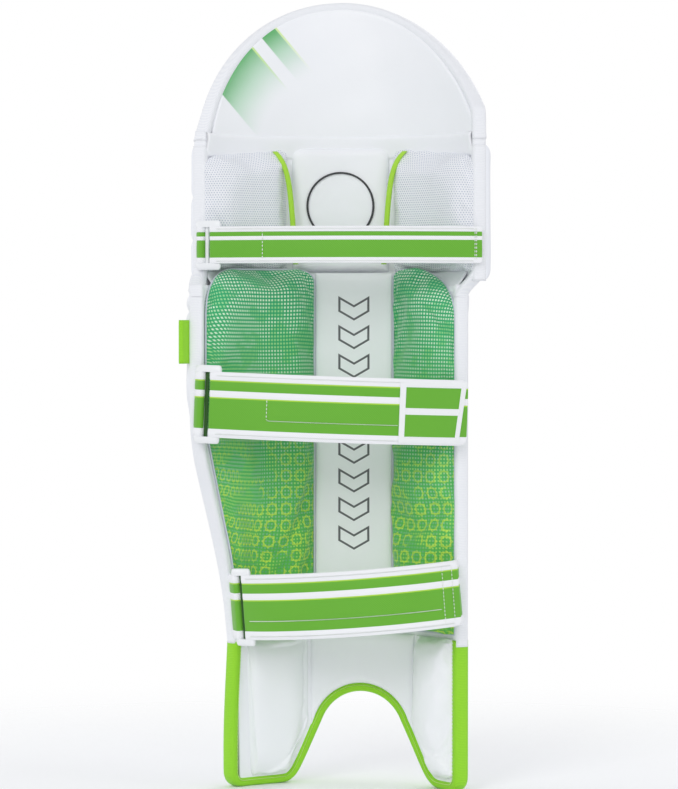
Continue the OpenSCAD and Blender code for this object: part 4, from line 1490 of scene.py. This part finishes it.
def sewn_run(strap):
    """Fixed run: leaves the half turn at the bar, follows the bow and dives into the rim."""
    d = np.arange(strap.start - 1.5 * MM, strap.end + 1e-6, 3 * MM)
    r = strap.r + WEB_T / 2
    path, normals = strap.point(d, 0, r), strap.normal(d)
    dive = 20 * MM
    goal = rim_point(strap, -1)
    goal = goal - ((goal - path[-1]) @ strap.up) * strap.up - strap.point(d[-1], 0, r)
    for i in range(len(d)):
        t = (d[i] - (d[-1] - dive)) / dive
        if t > 0:
            path[i] = path[i] + goal * smoothstep(t) ** 1.3
    for i in range(1, len(d)):
        t = path[i] - path[i - 1]
        normals[i] = unit(np.cross(unit(t), strap.up)) * (1 if np.cross(t, strap.up) @ normals[i] > 0 else -1)
    webbing(strap.label + "_strap_sewn_run", strap.body, strap, path, normals, strap.layout,
            hides=[strap.label + "_strap"])


def loose_run(strap):
    """Free run from the bar back over the sewn run."""
    tip_r = 3 * MM if strap.label == "knee" else 7 * MM
    rounded = strap.tip - tip_r
    d = np.r_[np.arange(0, rounded, 3 * MM), strap.tip - tip_r * (1 - np.sin(np.linspace(0, np.pi / 2, 8)))]
    over = np.clip((d - rounded) / tip_r, 0, 1)
    half = strap.width / 2 - (1 - np.sqrt(1 - over * over)) * min(tip_r, strap.width / 2)
    path = strap.point(d, 0, strap.tail_r + WEB_T / 2)
    webbing(strap.label + "_strap_free_run", strap.tail_body, strap, path, strap.normal(d), strap.layout,
            widths=half, swell=0.12 * MM, hides=[strap.label + "_tail"])


def half_turn(centre, bend, ahead, out, start):
    """Points of a half turn round a bar, from the angle start on, and the directions out of it."""
    turns = np.radians(np.linspace(start, start + 180, 17))
    outwards = [ahead * math.cos(t) + out * math.sin(t) for t in turns]
    return [centre + d * bend for d in outwards], outwards


def bar_turn(strap):
    """Half turn round the bar, from the sewn run to the free run."""
    bend = strap.tail_r + WEB_T / 2 - strap.bar_r
    n0 = strap.normal(0.0)
    turn, turn_n = half_turn(strap.bar, bend, -strap.forward(0.0), n0, -90)
    lead, inner_r = strap.start - 1.0 * MM, strap.r + WEB_T / 2
    leads = ((lead, inner_r), (lead * 0.66, inner_r - 0.1 * MM), (lead * 0.33, strap.bar_r - bend + 0.3 * MM))
    path = [strap.point(d, 0, r) for d, r in leads] + turn
    normals = [-strap.normal(d) for d, _ in leads] + turn_n
    loop = webbing(strap.label + "_strap_bar_turn", None, strap, path, normals, strap.layout)
    tuple(strap.bar - n0 * bend * 0.9)
    tuple(strap.bar + n0 * bend)
    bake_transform(loop)


def tab_loop(strap):
    """Short webbing loop that holds the buckle's other bar to the rim."""
    bend = 2.7 * MM
    goal = rim_point(strap, 1)
    goal = goal - ((goal - strap.tab_bar) @ strap.up) * strap.up
    d_tab = (strap.bar_a - strap.tab_a) * strap.r
    n0, f0 = strap.normal(d_tab), -strap.forward(d_tab)
    turn, turn_n = half_turn(strap.tab_bar, bend, f0, n0, 90)
    top, low = [], []
    for t in np.linspace(1, 0, 7)[:-1]:
        s = smoothstep(t)
        lead = (strap.tab_bar + f0 * 9 * MM * t) * (1 - s) + goal * s
        apart = n0 * (bend * (1 - t) + 0.85 * MM * t)
        top.append(lead + apart)
        low.append(lead - apart)
    path = top + turn + low[::-1]
    normals = []
    for i in range(len(path)):
        t = path[min(i + 1, len(path) - 1)] - path[max(i - 1, 0)]
        n = unit(np.cross(strap.up, t))
        ref = turn_n[min(max(i - len(top), 0), len(turn) - 1)]
        normals.append(n if n @ ref > 0 else -n)
    webbing(strap.label + "_buckle_tab", strap.body, strap, path, normals, strap.layout,
            hides=[strap.label + "_tab"])


def tubes(name, body, material, rings):
    """One piece made of closed tubes; each tube is a list of rings of points."""
    verts, faces = [], []
    for tube in rings:
        k, m = len(verts), len(tube[0])
        verts += [p for ring in tube for p in ring]
        for i in range(len(tube) - 1):
            for j in range(m):
                l = (j + 1) % m
                faces.append((k + i * m + j, k + i * m + l, k + (i + 1) * m + l, k + (i + 1) * m + j))
        faces.append(tuple(k + j for j in range(m))[::-1])
        faces.append(tuple(k + (len(tube) - 1) * m + j for j in range(m)))
    obj = new_object(name, verts, faces, None, material)
    tidy_mesh(obj)
    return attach(obj, body)


def buckle(strap, width, depth, material):
    """Moulded loop of two rounded ends and two bars, with a fill of this width and depth in the slot between
    them. A dark green fill is painted shadow in the slot, not a part of the buckle.
    """
    mid = (strap.bar + strap.tab_bar) / 2
    along = unit(strap.tab_bar - strap.bar)
    out = np.cross(strap.up, along)
    out = out if out @ strap.normal(0.0) > 0 else -out
    half, bar_r, slats = strap.width / 2, 1.75 * MM, 60
    long, wide, tall = np.linalg.norm(strap.tab_bar - strap.bar) / 2 + 6.4 * MM, 3.1 * MM, 6.2 * MM

    def end_ring(side, t, size):
        pts = []
        for j in range(28):
            q = 2 * math.pi * j / 28
            x = bulge(math.cos(q), 0.7) * (long - (1 - size) * 5 * MM) - 1.2 * MM
            y = bulge(math.sin(q), 0.8) * wide * size + 0.4 * MM
            pts.append(mid + along * x + out * y + strap.up * side * (half - 0.4 * MM + tall * t))
        return pts[::side]

    def bar_ring(centre, side):
        end = centre + strap.up * side * (half + 1.5 * MM)
        turns = np.linspace(0, 2 * math.pi, 13)[:-1]
        return [end + bar_r * (along * math.cos(q) + out * math.sin(q)) for q in turns]

    def slat_ring(i):
        z = (i / (slats - 1) * 2 - 1) * (half + 1 * MM)
        rib = 1 + 0.10 * math.cos(i * 2 * math.pi / 3)
        return [mid + strap.up * z + along * (width / 2 * c + 0.7 * MM) + out * (s * depth * rib - 0.8 * MM)
                for c, s in ((-1, 0.3), (-0.7, 0.9), (0, 1.0), (0.7, 0.9), (1, 0.3), (1, -0.4), (-1, -0.4))]

    swell = ((0, 0.9), (0.0, 1.0), (0.12, 1.02), (0.5, 1.0), (0.85, 0.86), (1.0, 0.6))
    ends = [[end_ring(side, t, size) for t, size in swell] for side in (1, -1)]
    bars = [[bar_ring(centre, side) for side in (-1, 1)] for centre in (strap.bar, strap.tab_bar)]
    loop = tubes(strap.label + "_buckle_frame", strap.buckle_body, PLASTIC, ends + bars)
    loop.data.set_sharp_from_angle(angle=math.radians(40))
    done(loop, "buckle_white", strap.label + "_buckle")
    # Slot fill: on the calf and ankle a dark green sheet of painted shadow, on the knee white plastic for the
    # white mesh seen through the slot.
    slot_fill = tubes(strap.label + "_buckle_slot_fill", strap.buckle_body, material,
                   [[slat_ring(i) for i in range(slats)]])
    done(slot_fill, "webbing_green" if material is SLOT_SHADOW_GREEN else "buckle_white")


def fastening(strap):
    """Loop patch on the sewn run and hook patch under the free run."""
    for node, r, body, material, slot, face in (
            (strap.label + "_loop_patch", strap.r + WEB_T + 0.5 * MM, strap.body, LOOP, "loop_pile", 1),
            (strap.label + "_hook_patch", strap.tail_r - 0.5 * MM, strap.tail_body, HOOK, "hook_tape", -1)):
        d0, d1 = strap.reach(node)
        d = np.r_[d0, d0 + 0.4 * MM, np.arange(d0 + 3 * MM, d1 - 1 * MM, 3 * MM), d1 - 0.4 * MM, d1]
        half = np.full(len(d), strap.width * 0.3)
        webbing(node + "_pile", body, strap, strap.point(d, 0, r), strap.normal(d) * face, [(1, 0, 0.1)],
                thick=0.9 * MM, widths=half, materials=[material], slot=slot, hides=[node])


def strap_stitches(strap):
    """Stitch lines on the free run: each has its (distance, height) spots and how far above the run it is."""
    w, tip = strap.width / 2, strap.tip
    edge = w - strap.layout[0][0] * MM * 0.45
    on_edge, flat = 0.75 * MM, 0.35 * MM
    across = lambda d, share: [(d, share * w), (d, -share * w)]
    spots = [([(5 * MM, side * edge), (tip - 8 * MM, side * edge)], on_edge) for side in (1, -1)]
    extra = {"calf": [[(52 * MM, 0.20 * w), (52 * MM, -0.42 * w), (tip - 69 * MM, -0.42 * w)]],
             "ankle": [[(6 * MM, -0.42 * w), (tip - 20 * MM, -0.42 * w)], across(tip - 17 * MM, 0.9),
                       across(tip - 7 * MM, 0.85)],
             "knee": [across(50 * MM, 0.8), across(tip - 7 * MM, 0.9), across(tip - 5.5 * MM, 0.9)]}
    lines = []
    for line, lift in spots + [(line, flat) for line in extra[strap.label]]:
        d, h = resample(np.array(line), 3 * MM).T
        lines.append((strap.point(d, h, strap.tail_r + WEB_T + lift), strap.normal(d)))
    obj = stitches(strap.label + "_strap_stitches", strap.tail_body, THREAD, lines, pitch=3.4 * MM,
                   r=0.45 * MM)
    done(obj, "webbing_green")


def calf_badge(strap):
    """Plain framed patch on the end of the calf strap, its outer end cut on a slant."""
    d0, d1 = strap.reach("calf_badge")
    length, h = d1 - d0, strap.width / 2 - 1.5 * MM
    frame_w, step_w = 5.5 * MM, 0.5 * MM
    inner, stripe = h - frame_w, strap.width / 2
    edges = [h, inner, inner - step_w, 0.12 * stripe, -0.08 * stripe, step_w - inner, -inner, -h]
    kinds = [0, 0, 1, 0, 1, 0, 0]
    rows = [(p + (q - p) * t, kind) for p, q, kind in zip(edges[:-1], edges[1:], kinds) for t in (0, 0.5)]
    rows.append((-h, 0))
    far = length - frame_w
    cols = [0, frame_w, frame_w + step_w, *np.linspace(frame_w + 3 * MM, far - 3 * MM, 14)]
    cols += [far - step_w, far, length]
    verts = []
    for top in (True, False):
        for c in cols:
            for z, _ in rows:
                slant = 7 * MM * (0.5 - z / (2 * h)) * (c / length)
                near = min(c, length - c, h - abs(z))
                lift = 0.9 * MM if near < frame_w + 0.1 * MM else 0.35 * MM
                lift = (lift - (0.3 * MM if near < 1e-6 else 0)) if top else -0.5 * MM
                verts.append(strap.point(d0 + c - slant, z, strap.tail_r + WEB_T + 0.6 * MM + lift))
    slab = slab_faces(len(cols), len(rows))
    obj = new_object("calf_badge_patch", verts, [f[0] for f in slab], None, [PLASTIC, GREEN])
    obj.data.polygons.foreach_set("material_index", [
        rows[j][1] if not rim and frame_w - 1e-6 < cols[i] < far - 1e-6 else 0 for _, i, j, rim in slab])
    tidy_mesh(obj, 2e-6)
    obj.data.set_sharp_from_angle(angle=math.radians(40))
    done(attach(obj, strap.tail_body), "badge_white", "calf_badge")


def straps():
    shin_rim = (LINING_R, SHIN_R, SHIN_A0, SHIN_A1)
    knee_rim = (KNEE_IN, KNEE_R, KNEE[2], KNEE[3])
    # Each buckle's slot fill is (width, depth, material); the calf's and ankle's dark green fill is painted
    # shadow in the slot.
    for label, layout, rim, slot_fill in (("knee", NARROW, knee_rim, (3.8 * MM, 1.3 * MM, PLASTIC)),
                                       ("calf", WIDE, shin_rim, (3.4 * MM, 0.6 * MM, SLOT_SHADOW_GREEN)),
                                       ("ankle", WIDE, shin_rim, (3.8 * MM, 1.0 * MM, SLOT_SHADOW_GREEN))):
        strap = Strap(label, layout, rim)
        sewn_run(strap)
        loose_run(strap)
        bar_turn(strap)
        tab_loop(strap)
        buckle(strap, *slot_fill)
        fastening(strap)
        strap_stitches(strap)
        if label == "calf":
            calf_badge(strap)


def side_tab():
    """Folded ribbon on the outer edge."""
    r0, r1, _, _, z0, z1 = span("side_tab")
    root = at((r0 + r1) / 2, SHIN_A1 - 1.0, 0)
    away = at(1.0, SHIN_A1 + 62, 0)
    thick = at(1.0, SHIN_A1 - 28, 0)
    bend, apart = 1.9 * MM, 0.8 * MM
    tip = max(np.linalg.norm((points("side_tab")[:, :2] - root[:2]), axis=1)) - bend
    line = [root + away * tip * t + thick * (apart + (bend - apart) * t) for t in np.linspace(0, 1, 6)[:-1]]
    path = line + [root + away * (tip + bend * math.cos(t)) + thick * bend * math.sin(t)
                   for t in np.radians(np.linspace(90, -90, 13))]
    path += [p - 2 * thick * ((p - root) @ thick) for p in line[::-1]]
    rows = np.linspace(-1, 1, 15)
    n, m = len(path), len(rows)
    verts = []
    for side in (0.55 * MM, -0.55 * MM):
        for i, p in enumerate(path):
            normal = unit(np.cross(path[min(i + 1, n - 1)] - path[max(i - 1, 0)], [0, 0, 1.0]))
            for k in rows:
                z = (z0 + z1) / 2 + k * (z1 - z0) / 2
                verts.append(np.array([p[0], p[1], z]) + normal * side * (0.7 if abs(k) > 0.99 else 1))
    obj = new_object("side_tab_ribbon", verts, [f[0] for f in slab_faces(n, m)], None, LIME)
    tidy_mesh(obj)
    done(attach(obj, "shin_section"), "binding_lime", "side_tab")


# ---------- stage ----------

def stage_and_light():
    """Pale floor that fades into a white surround, lit softly from all round."""
    m = Nodes("studio_floor")
    m.finish(rgb(246, 247, 249), 0.9, spec=0.1)
    x, y, _ = m.split()
    clear, both = m.add("BsdfTransparent"), m.add("MixShader")
    m.put(both.inputs[0], m.step(m.math("SQRT", x * x + y * y), 0.62, 0.42))
    m.put(both.inputs[1], m.bsdf.outputs[0])
    m.put(both.inputs[2], clear.outputs[0])
    m.put(m.tree.nodes["Material Output"].inputs["Surface"], both.outputs[0])
    turns = [2 * math.pi * i / 64 for i in range(64)]
    ring = [(1.2 * math.cos(t), 1.2 * math.sin(t), 0) for t in turns]
    new_object("studio_floor", ring, [tuple(range(len(ring)))], None, m.mat, smooth=False)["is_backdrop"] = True

    world = bpy.data.worlds.new("studio")
    bpy.context.scene.world = world
    world.use_nodes = True
    nodes, links = world.node_tree.nodes, world.node_tree.links
    light, seen = nodes["Background"], nodes.new("ShaderNodeBackground")
    light.inputs[0].default_value = (0.985, 0.99, 1.0, 1)
    light.inputs[1].default_value = 0.68
    seen.inputs[0].default_value = (1, 1, 1, 1)
    path, both = nodes.new("ShaderNodeLightPath"), nodes.new("ShaderNodeMixShader")
    links.new(path.outputs["Is Camera Ray"], both.inputs[0])
    links.new(light.outputs[0], both.inputs[1])
    links.new(seen.outputs[0], both.inputs[2])
    links.new(both.outputs[0], nodes["World Output"].inputs[0])
    bpy.context.scene.view_settings.view_transform = "Standard"

    for name, place, size, power in (
            ("back_key", (1.3, 2.6, 1.9), 1.3, 24), ("front_key", (-1.5, -2.5, 1.9), 1.3, 24),
            ("back_fill", (-0.3, 3.2, 0.7), 1.6, 10), ("front_fill", (0.5, -3.2, 0.7), 1.6, 5),
            ("back_rim", (-2.4, 0.8, 0.9), 1.0, 7), ("front_rim", (2.4, -0.8, 0.9), 1.0, 7)):
        lamp = bpy.data.lights.new(name, "AREA")
        lamp.shape, lamp.size, lamp.energy = "SQUARE", size, power
        obj = link(bpy.data.objects.new(name, lamp))
        obj.location = place
        obj.rotation_euler = (Vector((0, 0, 0.35)) - Vector(place)).to_track_quat("-Z", "Y").to_euler()


def camera():
    """Long lens that looks at the leg side and whose frame is as high as the pad."""
    lo, hi = np.array(cad_box[0]), np.array(cad_box[1])
    cam = bpy.data.cameras.new("camera")
    cam.lens, cam.sensor_width, cam.sensor_height, cam.sensor_fit = 150, 36, 36, "VERTICAL"
    obj = link(bpy.data.objects.new("camera", cam))
    lift, target = math.radians(1.5), Vector((lo + hi) / 2)
    obj.location = target + Vector((0, math.cos(lift), math.sin(lift))) * ((hi[2] - lo[2]) * cam.lens / 36)
    obj.rotation_euler = (target - obj.location).to_track_quat("-Z", "Y").to_euler()
    bpy.context.scene.camera = obj


def build():
    for piece in (shin_layers, shin_ribs, instep, side_wing, shin_tapes, knee_layers, knee_rolls,
                  knee_tacks, knee_wings, hat_layers, hat_ribs, seam_gussets, edge_bridges,
                  leg_side_panels, shin_bolsters, knee_leg_side, straps, side_tab):
        piece()


def write_size():
    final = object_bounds()
    plain = lambda box: [[float(v) for v in corner] for corner in box]
    {"cad": plain(cad_box), "visual": plain(final)}


build()
stage_and_light()
camera()
write_size()
